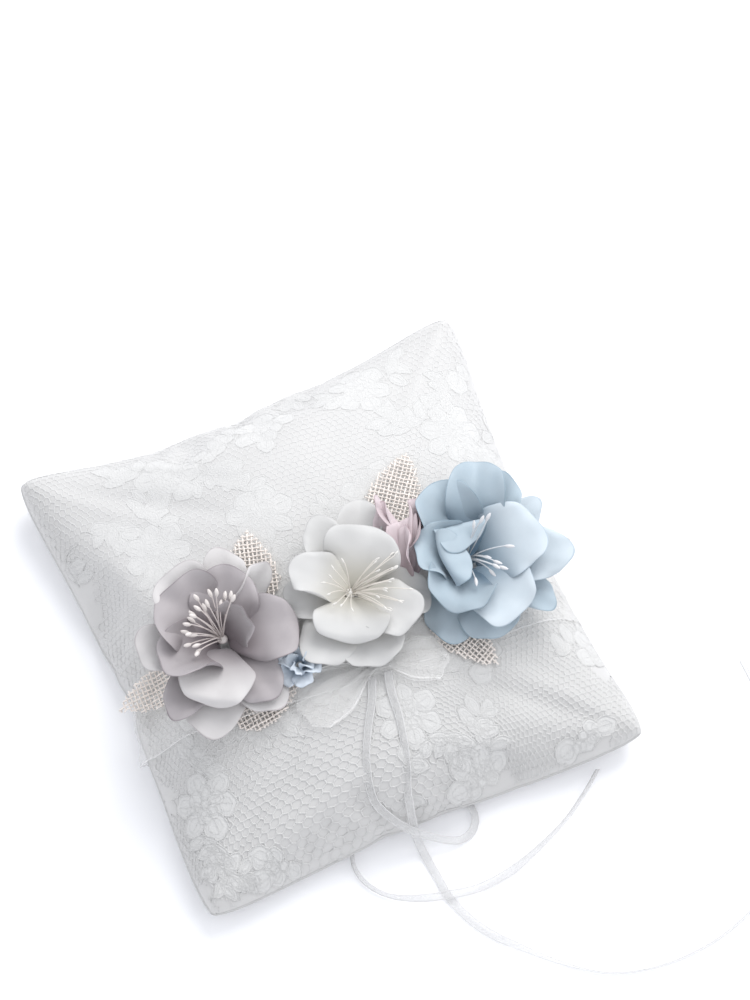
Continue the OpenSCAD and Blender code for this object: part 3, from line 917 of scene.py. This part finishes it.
blue_petals = [
    petal(92, 46, 8, 32, 24, 5.0, cup=0.35, lip=0.2, wave=1.8, folds=[(100, 1, 150, 2.2)]),
    petal(2, 34, 22, 34, 33, 3.2, cup=0.7, lip=1.2, wave=1.2),
    petal(-74, 31, 38, 33, 31, 3.8, cup=0.6, lip=1.4, wave=0.9),
    petal(-132, 42, 34, 28, 30, 4.6, cup=0.9, lip=0.8, wave=2.2),
    petal(150, 48, 24, 29, 26, 2.8, cup=1.0, lip=1.2, wave=2.0),
    petal(176, 46, 0, 32, 24, 5.6, cup=0.35, lip=0.2, wave=1.8, folds=[(78, 0, 150, 2.2)]),
    petal(63, 38, 38, 46, 25, 1.0, cup=0.7, lip=1.2, wave=2.4),
    petal(94, 34, 18, 39, 27, 0.6, cup=0.9, wave=2.0),
    petal(42, 28, 18, 41, 20, 0.6, cup=0.7, wave=2.0),
    petal(22, 11, 12, 39, 18, 0.0, cup=0.5, wave=1.4),
    petal(-16, 18, 14, 42, 26, 1.2, cup=0.6, lip=1.2, wave=2.4),
    petal(-48, 8, 12, 38, 17, 0.0, cup=0.9, wave=1.4),
    petal(-94, 17, 30, 34, 27, 1.4, cup=-0.35, lip=0.2, wave=2.0),
    petal(-134, 13, 28, 34, 26, 0.6, cup=-0.3, lip=0.2, wave=1.6),
]
flowers = {"lilac": (lilac_at, lilac_petals), "white": (white_at, white_petals),
           "blue": (blue_at, blue_petals)}
flower_pieces = {
    name: [make_petal(f"{name}_flower_petal_{k}", centre, p) for k, p in enumerate(petals, 1)]
    for name, (centre, petals) in flowers.items()}
print("petals:", {name: len(pieces) for name, pieces in flower_pieces.items()})

# %% [markdown]
# ## Stamens
# Artificial stamens are stiff waxed threads dipped at the tip, bound in a bunch at the stem.
# Each is one tube whose radius swells into the dipped head, so thread and head are one skin.
# All the stamens of a flower are one piece, because they are bound and move together.

# %% Make the bunches of stamens
THREAD_STEPS = 8
HEAD_PLACES = np.array([0.04, 0.2, 0.45, 0.72, 0.93, 1.0])     # along the dipped head
HEAD_SHAPE = np.array([0.35, 0.75, 1.0, 0.85, 0.45, 0.1])      # its radius at each
SMALLEST_RADIUS = 0.1


def stamen_bunch(name, centre, stamens, thread, head, head_long):
    """Stamens as (direction, lean at the root, lean at the tip, length)."""
    paths = []
    for k, (turn, lean, tip_lean, length) in enumerate(stamens):
        angle = np.radians(np.linspace(lean, tip_lean, THREAD_STEPS + 1))
        step = (length - head_long) / THREAD_STEPS
        out, up = (np.concatenate([[0], np.cumsum(rate[:-1]) * step])
                   for rate in (np.sin(angle), np.cos(angle)))
        out = np.append(out, out[-1] + HEAD_PLACES * head_long * math.sin(angle[-1]))
        up = np.append(up, up[-1] + HEAD_PLACES * head_long * math.cos(angle[-1]))
        sway = 0.5 * np.sin(np.linspace(0, 5, len(out)) + k * 1.7)
        c, s = cos_sin(turn)
        start = np.array(centre) + np.array([0.8 * c, 0.8 * s, 1.0])
        paths.append((start + np.column_stack([out * c - sway * s, out * s + sway * c, up])) * MM)
    radius = np.append(np.full(THREAD_STEPS + 1, thread),
                       np.maximum(HEAD_SHAPE * head, SMALLEST_RADIUS)) * MM
    bunch = new_object(name, *tube_mesh(paths, [radius] * len(paths), 6))
    knob = squashed_ball(name + "_knob", np.array(centre) * MM, (2.2, 2.2, 1.76), 16, 10)
    return join([bunch, knob])


lilac_stamens = [(44 + 8.2 * k, 12 + 10 * (k % 3), 46 + 13 * (k % 4), 26 - 2.6 * (k % 4))
                 for k in range(21)]
white_stamens = [(-64 + 4.6 * k, 24 + 10 * (k % 3), 66 + 11 * (k % 3), 29 - 3.4 * (k % 4))
                 for k in range(20)]
white_stamens += [(84 + 24 * k, 14 + 6 * (k % 3), 60 + 10 * (k % 2), 18 - 2 * (k % 3))
                  for k in range(8)]
blue_stamens = [(38, 16, 44, 25), (50, 12, 38, 22), (28, 22, 50, 26), (-22, 28, 74, 25),
                (-48, 20, 70, 22), (-54, 28, 72, 25), (-60, 22, 66, 23), (-66, 30, 76, 20),
                (-108, 18, 66, 18), (-120, 24, 70, 19), (-100, 28, 72, 21), (-40, 24, 56, 15)]
stamens = {
    "lilac": stamen_bunch("lilac_flower_stamens", np.add(lilac_at, [0, 1.5, 6]),
                          lilac_stamens, 0.28, 1.0, 4.0),
    "white": stamen_bunch("white_flower_stamens", np.add(white_at, [-1.8, 0, 5]),
                          white_stamens, 0.22, 0.5, 2.4),
    "blue": stamen_bunch("blue_flower_stamens", np.add(blue_at, [-1.3, 2.5, 6]),
                         blue_stamens, 0.28, 0.85, 4.6),
}

# %% [markdown]
# ## Small blossoms
# A crumpled pink blossom and a tiny blue one fill the gaps between the flowers. They are cut
# from the same cloth but pinched and ruffled by hand, so they use the same petal code with
# deep waves and sharp folds. The petals of each are one piece, gathered at one point.

# %% Gather the small blossoms
def gathered_blossom(name, centre, petals):
    blossom = join([make_petal(f"{name}_{k}", centre, p) for k, p in enumerate(petals)])
    blossom.name = blossom.data.name = name
    return blossom


pink_blossom = gathered_blossom("pink_crumpled_blossom", [28, -15, 53.5], [
    petal(74, 18, 6, 43, 17, 0.0, cup=0.8, wave=1.8, folds=[(150, 3, 130, 1.0)]),
    petal(58, 24, 12, 39, 15, 1.0, cup=0.9, wave=1.6, roll=35, folds=[(0, 3, 120, 1.0)]),
    petal(84, 24, 8, 37, 13, 1.0, cup=1.0, wave=2.0, roll=-30, folds=[(180, 2, 110, 0.9)]),
    petal(50, 30, 22, 33, 12, 1.6, cup=1.0, wave=1.8, roll=50),
    petal(70, 36, 40, 36, 14, 2.4, cup=0.7, wave=2.2, folds=[(70, 9, -110, 1.2)]),
    petal(66, 42, 30, 26, 10, 3.0, cup=1.3, wave=1.6, roll=-50),
])
small_blossom = gathered_blossom(
    "small_blue_ruffled_blossom", [-25.5, -28, 55],
    [petal(20 + 60 * k, 20 + 14 * (k % 3), 30, 10, 10, 0.6, cup=0.7, wave=1.0, roll=20 * (-1) ** k)
     for k in range(6)]
    + [petal(50 + 90 * k, 62, 20, 7.5, 7, 1.6, cup=1.1, wave=1.0, roll=-30)
       for k in range(4)])

# %% [markdown]
# ## Burlap leaves
# The leaves are cut from open burlap: thick uneven jute yarns that pass over and under each
# other with gaps you can see through. A pattern with holes would look printed at this size,
# so each yarn is a tube that waves over its neighbours and stops at the cut outline, with
# ends that fray a little past it.

# %% Weave and cut the leaves
YARN_PITCH = 1.8
YARN_RADIUS = 0.42
YARN_RISE = 0.36                            # how far a yarn waves over the ones it crosses


def leaf_half_width(t, width):
    past = np.where(t > 0.36, (t - 0.36) / 0.64, (0.36 - t) / 0.5)
    return width / 2 * np.clip(1 - np.abs(past) ** 1.6, 0, 1) ** 0.8


def burlap_leaf(name, root, root_up, turn, length, width, tip_up, seed):
    """A leaf from its root, which is root_up above the lace as its tip is tip_up."""
    random = np.random.default_rng(seed)
    c, s = cos_sin(turn)
    yarns = []

    def add_yarn(u, v, over):
        x = root[0] + u * c - v * s
        y = root[1] + u * s + v * c
        lace = on_panel(front_grid, *panel_place(x, y))[0][:, 2]
        lift = root_up + (tip_up - root_up) * np.clip(u / length, 0, 1.1) ** 2
        curl = 1.4 * (v / width * 2) ** 2 * smooth_step(0.2, 0.9, u / length)
        yarns.append(np.column_stack([x * MM, y * MM, lace + (lift + 0.7 + curl + over) * MM]))

    def wander(along):
        return 0.14 * np.sin(along + random.uniform(0, 6))

    rows = int(width / 2 / YARN_PITCH) + 1
    for k in range(-rows, rows + 1):
        u = np.arange(0, length + 1, YARN_PITCH / 2)
        v = k * YARN_PITCH + wander(u / 2.3)
        inside = np.abs(v) < leaf_half_width(u / length, width) + random.uniform(-0.1, 0.7)
        if inside.sum() > 2:
            add_yarn(u[inside], v[inside], YARN_RISE * np.cos(np.pi * (u[inside] / YARN_PITCH + k)))
    for i in range(int(length / YARN_PITCH) + 1):
        reach = leaf_half_width(i * YARN_PITCH / length, width) + random.uniform(-0.1, 0.7)
        v = np.arange(-16, 17) * YARN_PITCH / 2
        v = v[np.abs(v) < reach]
        if len(v) > 2:
            u = i * YARN_PITCH + wander(v / 2.1)
            add_yarn(u, v, -YARN_RISE * np.cos(np.pi * (v / YARN_PITCH + i)))
    radii = [YARN_RADIUS * MM * random.uniform(0.75, 1.15) for _ in yarns]
    return new_object(name, *tube_mesh(yarns, radii, 5))


leaves = {
    "leaf_back_left": burlap_leaf("burlap_leaf_back_left", (-33.5, 3.5), 1, 72, 35, 24, 2, 1),
    "leaf_back_middle": burlap_leaf("burlap_leaf_back_middle", (29, 9.5), 1, 54, 43, 25, 2, 2),
    "leaf_left": burlap_leaf("burlap_leaf_left", (-67, -8.5), 1.6, 178, 33, 17, 15, 3),
    "leaf_right": burlap_leaf("burlap_leaf_right", (74, -7.5), 3, -8, 33, 14, 16, 4),
    "leaf_front_right": burlap_leaf("burlap_leaf_front_right", (36, -27), 1, -60, 34, 19, 2, 5),
    "leaf_front_left": burlap_leaf("burlap_leaf_front_left", (-58, -37), 1, 4, 29, 17, 1.6, 6),
}
print("burlap leaves:", {name: len(leaf.data.vertices) for name, leaf in leaves.items()})

# %% [markdown]
# ## Organza sash and bow
# A band of organza goes once round the cushion and is gathered into a knot under the middle
# flower, and two loops spread from the knot. Organza is stiff and sheer: it keeps its
# pleats, and you see the lace through it. Each part is a pleated grid laid on the cushion.

# %% Lay the sash
knot_at = np.array([4.5, -38.0])
SASH_ROWS = 90
SASH_COLUMNS = 29
LOOP_ROWS = 49
LOOP_COLUMNS = 25


def sheet_from_grid(name, grid, closed=False):
    """A sheet of cloth from rows of points; its UV runs across and along, in widths."""
    grid = np.asarray(grid)
    rows, columns = grid.shape[:2]
    along = np.linalg.norm(np.diff(grid, axis=0), axis=2).mean(axis=1)
    along = np.concatenate([[0], np.cumsum(along)]) / (SASH_WIDTH * MM)
    uv = [(j / (columns - 1), along[i]) for i in range(rows) for j in range(columns)]
    faces = []
    for i in range(rows if closed else rows - 1):
        for j in range(columns - 1):
            a = i * columns + j
            b = (i + 1) % rows * columns + j
            faces.append((a, b, b + 1, a + 1))
    return new_object(name, grid.reshape(-1, 3), faces, uv)


def sash_row(across):
    """One lengthwise thread of the sash; across is -1 at its front edge, 1 at its back."""
    s = np.linspace(0, 1, SASH_ROWS)
    x = (s - 0.5) * cushion_size[0] / MM
    gather = np.exp(-((x - knot_at[0]) / 34) ** 2)
    centre = sash_middle(x) - 10 * np.exp(-((x - knot_at[0]) / 46) ** 2)
    half = SASH_WIDTH / 2 * (1 - 0.52 * gather)
    pleat = np.sin(across * 8.5 + 0.6 * np.sin(x / 23)) * (0.25 + 0.8 * gather)
    pleat += 0.25 * np.sin(across * 19 + x / 31)
    y = centre + half * across
    loose = 3.2 * np.exp(-(s / 0.035) ** 2) * smooth_step(-0.2, -1, across)
    over_leaf = 2.6 * np.exp(-((x + 44) / 17) ** 2) * smooth_step(0.5, -0.3, across)
    height = 1.3 + pleat + loose + over_leaf
    front, _ = on_panel(front_grid, s, panel_place(x, y)[1], height * MM)
    back_y = sash_middle(x) + SASH_WIDTH / 2 * across
    back, _ = on_panel(back_grid, s, panel_place(x, back_y)[1], 0.5 * MM, side=-1)
    joined = back.copy()
    steps = np.arange(SASH_ROWS)
    for end, sign, away in ((0, -1, steps), (-1, 1, steps[::-1])):
        blend = np.exp(-away / 5)
        joined[:, 1] += (front[end, 1] - back[end, 1]) * blend
        joined[:, 0] += sign * 0.8 * MM * blend
    joined[:, 2] = np.maximum(joined[:, 2], 0.3 * MM)
    return np.vstack([front, joined[::-1]])


sash_grid = np.stack([sash_row(a) for a in np.linspace(-1, 1, SASH_COLUMNS)], axis=1)
sash = sheet_from_grid("organza_sash_band", sash_grid, closed=True)


# %% Tie the bow
def bow_loop(name, turn, length, width, rise, seed):
    """A loop that leaves the knot, turns over at its tip and comes back underneath."""
    phase = np.random.default_rng(seed).uniform(0, 6, 3)
    c, s = cos_sin(turn)
    grid = []
    for a in np.linspace(0, 1, LOOP_ROWS):
        out = math.sin(math.pi * a) ** 0.7
        top = a < 0.5
        opening = rise * math.sin(math.pi * min(out, 0.98)) ** 0.7 + 0.5
        height = 1.8 + opening * top + 0.32 * rise * (out > 0.9)
        half = width / 2 * (0.2 + 0.8 * smooth_step(0, 0.7, out))
        row = []
        for across in np.linspace(-1, 1, LOOP_COLUMNS):
            bulge = 1 - 0.16 * across ** 2 + 0.02 * math.sin(across * 7 + phase[0])
            u = length * out * bulge
            v = half * across
            fold = (1.2 - 0.6 * out) * math.sin(across * 9 + phase[1] + 1.3 * (not top))
            fold += 0.35 * math.sin(across * 21 + phase[2])
            x = knot_at[0] + u * c - v * s
            y = knot_at[1] + u * s + v * c
            row.append((x * MM, y * MM, (front_height(x, y) + height + fold) * MM))
        grid.append(row)
    return sheet_from_grid(name, grid)


bow_left = bow_loop("organza_bow_loop_left", -167, 38, 22, 2.2, 7)
bow_right = bow_loop("organza_bow_loop_right", -17, 31, 18, 3.4, 8)

knot_middle = np.array([*knot_at, front_height(*knot_at) + 2.4]) * MM
knot = squashed_ball("organza_bow_knot", knot_middle, (4.2, 3.4, 2.6), 48, 24)
co = points_of(knot) - knot_middle
round_angle = np.arctan2(co[:, 2], co[:, 1])
ridge = 1 + 0.1 * np.sin(co[:, 0] / MM * 3.4 + 0.8 * np.sin(round_angle * 2))
co[:, 1:] *= ridge[:, None]
set_points(knot, co + knot_middle)
print("sash and bow:", [len(p.data.polygons) for p in (sash, bow_left, bow_right, knot)])

# %% [markdown]
# ## Cloth materials
# All the cloth here is white or pale, so what tells one from another is its weave, its
# sheen and how much light comes through. The weave is one shader group used by every
# cloth at its own scale. Each material keeps its plain values on its own shader and takes
# only the patterns from the groups.


# %% Shader groups
def add_node(tree, kind, links=(), **settings):
    """A node with its settings; links are (input, output socket of another node) pairs."""
    node = tree.nodes.new(kind)
    for key, value in settings.items():
        setattr(node, key, value)
    for name, source in links:
        if isinstance(source, bpy.types.NodeSocket):
            tree.links.new(source, node.inputs[name])
        else:
            node.inputs[name].default_value = source
    return node


def ranged(tree, value, start, end, to=(0, 1), smooth=False):
    """A value whose range from start to end is stretched over the range to."""
    node = add_node(tree, "ShaderNodeMapRange", [
        ("Value", value), ("From Min", start), ("From Max", end), ("To Min", to[0]),
        ("To Max", to[1])], interpolation_type="SMOOTHSTEP" if smooth else "LINEAR")
    return node.outputs["Result"]


def mixed(tree, share, first, second):
    """The colour that lies a share of the way from the first to the second."""
    # A Mix node has sockets for each kind of data: 6, 7 and the third output are the colours.
    node = add_node(tree, "ShaderNodeMix", [(0, share), (6, first), (7, second)],
                    data_type="RGBA")
    return node.outputs[2]


def maths(tree, operation, *values):
    """The result of one sum on one or two values."""
    return add_node(tree, "ShaderNodeMath", enumerate(values), operation=operation).outputs[0]


def uv_of(tree, name):
    return add_node(tree, "ShaderNodeUVMap", uv_map=name).outputs["UV"]


def split_uv(tree, name):
    return add_node(tree, "ShaderNodeSeparateXYZ", [(0, uv_of(tree, name))]).outputs


def new_group(name, inputs, outputs):
    """A shader group, with a (label, kind of socket) for each input and output."""
    group = bpy.data.node_groups.new(name, "ShaderNodeTree")
    for direction, sockets in (("INPUT", inputs), ("OUTPUT", outputs)):
        for label, kind in sockets:
            group.interface.new_socket(label, in_out=direction, socket_type="NodeSocket" + kind)
    given = group.nodes.new("NodeGroupInput").outputs
    return group, given, group.nodes.new("NodeGroupOutput").inputs


def weave_group():
    """Over-and-under threads with a little unevenness."""
    group, given, out = new_group(
        "plain_weave", [("Vector", "Vector"), ("Threads", "Float"), ("Unevenness", "Float")],
        [("Height", "Float")])
    warp, weft = (add_node(group, "ShaderNodeTexWave", [
        ("Vector", given["Vector"]), ("Scale", given["Threads"]),
        ("Distortion", given["Unevenness"]), ("Detail", 1.0), ("Detail Scale", 2.0)],
        wave_type="BANDS", bands_direction=direction).outputs["Fac"] for direction in "XY")
    group.links.new(maths(group, "MULTIPLY", warp, weft), out["Height"])
    return group


def petal_dye_and_shade_group():
    """Petal colour: painted shade at the root, deep in the cup, a thin darker cut rim, and cloudy
    dye between.
    """
    group, given, out = new_group(
        "petal_dye_and_root_shade", [("Place", "Vector"), ("Cloth", "Vector"), ("Root Shade", "Color"),
                      ("Body", "Color"), ("Pale", "Color"), ("Rim", "Color")],
        [("Color", "Color")])
    place = add_node(group, "ShaderNodeSeparateXYZ", [(0, given["Place"])]).outputs
    clouds = add_node(group, "ShaderNodeTexNoise", [
        ("Vector", given["Cloth"]), ("Scale", 0.9), ("Detail", 3.0)]).outputs["Fac"]
    # Painted shade: the root colour fills the petal's root, deep in the cup, and gives way to the
    # body past it.
    out_of_root_shade = ranged(group, place["X"], 0.1, 0.75, smooth=True)
    at_rim = ranged(group, place["Y"], 0.95, 1.0, smooth=True)
    cloudy = mixed(group, clouds, given["Body"], given["Pale"])
    root_shaded = mixed(group, out_of_root_shade, given["Root Shade"], cloudy)
    group.links.new(mixed(group, at_rim, root_shaded, given["Rim"]), out["Color"])
    return group


WEAVE = weave_group()
PETAL_DYE_AND_SHADE = petal_dye_and_shade_group()


# %% Woven cloth
def cloth_material(name, colour, roughness, threads, bump, depth, uneven=0.3, sheen=0.2,
                   on_object=False):
    """A woven cloth. It reads the piece's own UV, or its Object coordinates."""
    material = plain_material(name, colour, roughness)
    tree = material.node_tree
    shader = tree.nodes["Principled BSDF"].inputs
    shader["Sheen Weight"].default_value = sheen
    shader["Sheen Roughness"].default_value = 0.5
    if on_object:
        vector = add_node(tree, "ShaderNodeTexCoord").outputs["Object"]
    else:
        vector = uv_of(tree, "cloth")
    weave = add_node(tree, "ShaderNodeGroup", node_tree=WEAVE)
    tree.links.new(vector, weave.inputs["Vector"])
    weave.inputs["Threads"].default_value = threads
    weave.inputs["Unevenness"].default_value = uneven
    surface = add_node(tree, "ShaderNodeBump", [
        ("Height", weave.outputs["Height"]), ("Strength", bump), ("Distance", depth)])
    tree.links.new(surface.outputs["Normal"], shader["Normal"])
    return material, tree, shader, weave, surface


# The satin is set a little darker than the lace thread: painted shade for the cells of the net,
# where the satin shows between the threads.
satin = cloth_material("satin", (0.575, 0.567, 0.555), roughness=0.5, threads=900, bump=0.1,
                       depth=0.1 * MM, on_object=True)[0]
burlap = cloth_material("jute", (0.95, 0.88, 0.82), roughness=0.9, threads=2, bump=0.6,
                        depth=0.3 * MM, uneven=6, sheen=0.1)[0]


# %% Lace and organza
def lace_material():
    """Cotton thread, with the fine crackle of hand-worked stitches in the solid parts."""
    material, tree, shader, weave, surface = cloth_material(
        "lace_cotton", (0.635, 0.63, 0.617), roughness=0.8, threads=700, bump=0.3,
        depth=0.1 * MM, uneven=1.2, on_object=True)
    coordinates = add_node(tree, "ShaderNodeTexCoord").outputs["Object"]
    stitches = add_node(tree, "ShaderNodeTexVoronoi", [
        ("Vector", coordinates), ("Scale", 800), ("Randomness", 1)],
        feature="DISTANCE_TO_EDGE").outputs["Distance"]
    crackle = add_node(tree, "ShaderNodeBump", [
        ("Height", ranged(tree, stitches, 0, 0.16, smooth=True)), ("Strength", 0.4),
        ("Distance", 0.2 * MM)])
    tree.links.new(crackle.outputs["Normal"], surface.inputs["Normal"])
    return material


def sheer_with_selvage(name, colour, threads, middle_alpha, edge_alpha, edge_from):
    """Organza ribbon: sheer in the middle, with a dense woven selvage along each side."""
    material, tree, shader, weave, surface = cloth_material(
        name, colour, roughness=0.45, threads=threads, bump=0.3, depth=0.1 * MM)
    across = split_uv(tree, "cloth")["X"]
    off_middle = maths(tree, "ABSOLUTE", maths(tree, "SUBTRACT", across, 0.5))
    sheer = ranged(tree, off_middle, edge_from, edge_from + 0.03, (middle_alpha, edge_alpha))
    threaded = ranged(tree, weave.outputs["Height"], 0, 1, (0.75, 1.2))
    tree.links.new(maths(tree, "MULTIPLY", sheer, threaded), shader["Alpha"])
    return material


lace_thread = lace_material()
ribbon_cloth = sheer_with_selvage("ribbon_organza", (0.75, 0.745, 0.74), 6, 0.36, 0.85, 0.37)
organza = sheer_with_selvage("organza", (0.97, 0.96, 0.94), 45, 0.2, 0.6, 0.465)

# %% Dyed petals, with painted shade at the root and in the darker copies
# The colours at the root, of the body, of its paler clouds and at the cut rim. The root
# colour is painted shade, deep in the cup. Lilac and blue each come in a darker copy, painted
# shade for petals in shade, and a paler copy, painted light for petals that catch the light;
# both copies are one cloth.
PETAL_COLOURS = {
    "lilac_petals": ((0.17, 0.14, 0.15), (0.34, 0.31, 0.32),
                     (0.44, 0.41, 0.415), (0.26, 0.23, 0.24)),
    "pale_lilac_petals": ((0.30, 0.27, 0.28), (0.55, 0.53, 0.525),
                          (0.64, 0.62, 0.61), (0.44, 0.41, 0.41)),
    "white_petals": ((0.52, 0.50, 0.44), (0.57, 0.565, 0.55),
                     (0.61, 0.605, 0.595), (0.48, 0.475, 0.465)),
    "blue_petals": ((0.10, 0.17, 0.24), (0.34, 0.43, 0.49),
                    (0.46, 0.53, 0.58), (0.27, 0.36, 0.42)),
    "pale_blue_petals": ((0.20, 0.28, 0.35), (0.50, 0.57, 0.62),
                         (0.60, 0.66, 0.70), (0.40, 0.48, 0.54)),
    "pink_blossom": ((0.36, 0.27, 0.29), (0.56, 0.47, 0.485),
                     (0.66, 0.57, 0.59), (0.44, 0.34, 0.36)),
    "slate_blossom": ((0.26, 0.33, 0.41), (0.55, 0.61, 0.67),
                      (0.66, 0.71, 0.77), (0.42, 0.50, 0.58)),
}
# Painted light: the petals listed here take the paler, lit copy of their flower's colours; the
# others take the darker copy, as painted shade.
LIT_PETALS = {"lilac": (6, 8, 9, 10, 11, 13, 14), "white": (), "blue": (2, 3, 10, 11)}


def petal_material(name, colours):
    material, tree, shader, weave, surface = cloth_material(
        name, colours[1], roughness=0.62, threads=26, bump=0.18, depth=0.2 * MM, uneven=0.4,
        sheen=0.25)
    dye_and_shade = add_node(tree, "ShaderNodeGroup", node_tree=PETAL_DYE_AND_SHADE)
    tree.links.new(uv_of(tree, "place"), dye_and_shade.inputs["Place"])
    tree.links.new(uv_of(tree, "cloth"), dye_and_shade.inputs["Cloth"])
    for label, colour in zip(("Root Shade", "Body", "Pale", "Rim"), colours):
        dye_and_shade.inputs[label].default_value = (*colour, 1)
    tree.links.new(dye_and_shade.outputs["Color"], shader["Base Color"])
    return material


dyed_and_shaded = {name: petal_material(name, colours) for name, colours in PETAL_COLOURS.items()}


# %% Waxed stamens
def stamen_material(name, thread, head, head_from):
    """Waxed thread with a pearly dipped head past head_from of its length."""
    material = plain_material(name, head, 0.35)
    tree = material.node_tree
    dipped = ranged(tree, split_uv(tree, "cloth")["Y"], head_from - 0.05, head_from)
    tree.links.new(mixed(tree, dipped, (*thread, 1), (*head, 1)),
                   tree.nodes["Principled BSDF"].inputs["Base Color"])
    return material


waxed = {
    "lilac": stamen_material("lilac_stamens", (0.60, 0.54, 0.52), (0.72, 0.67, 0.64), 0.6),
    "white": stamen_material("white_stamens", (0.70, 0.66, 0.60), (0.70, 0.68, 0.64), 0.62),
    "blue": stamen_material("blue_stamens", (0.62, 0.64, 0.66), (0.70, 0.70, 0.71), 0.6),
}

# %% [markdown]
# ## Dressing the frame
# Every piece now takes its material and its body, and the CAD nodes it stands for are hidden.

# %% Finish the cushion, the lace and the ribbons
finish_piece(cushion, satin, "front_panel", "back_panel", "fibre_fill", slot="satin")
finish_piece(lace, lace_thread, "lace_overlay", slot="lace")
for side, (piece, path, length) in ribbons.items():
    finish_piece(piece, ribbon_cloth, "ring_ribbon_" + side, slot="ribbon")

# %% Finish the sash and the bow
finish_piece(sash, organza, "organza_sash", slot="organza")
finish_piece(bow_left, organza, "bow_loop_left", slot="organza")
finish_piece(bow_right, organza, "bow_loop_right", slot="organza")
finish_piece(knot, organza, "bow_knot", slot="organza")

# %% Finish the flowers, the blossoms and the leaves
for name, pieces in flower_pieces.items():
    for k, piece in enumerate(pieces, 1):
        # painted light and shade: a listed petal takes the lit copy of the colours, the rest the
        # shaded one
        pale = "pale_" if k in LIT_PETALS[name] else ""
        finish_piece(piece, dyed_and_shaded[f"{pale}{name}_petals"], f"{name}_petal_{k}",
                     slot=name + "_petal")
    finish_piece(stamens[name], waxed[name], name + "_stamens", slot="stamens")
finish_piece(pink_blossom, dyed_and_shaded["pink_blossom"], "pink_blossom", slot="pink_blossom")
finish_piece(small_blossom, dyed_and_shaded["slate_blossom"], "small_blue_blossom", slot="small_blossom")
for name, leaf in leaves.items():
    finish_piece(leaf, burlap, name, slot="burlap")
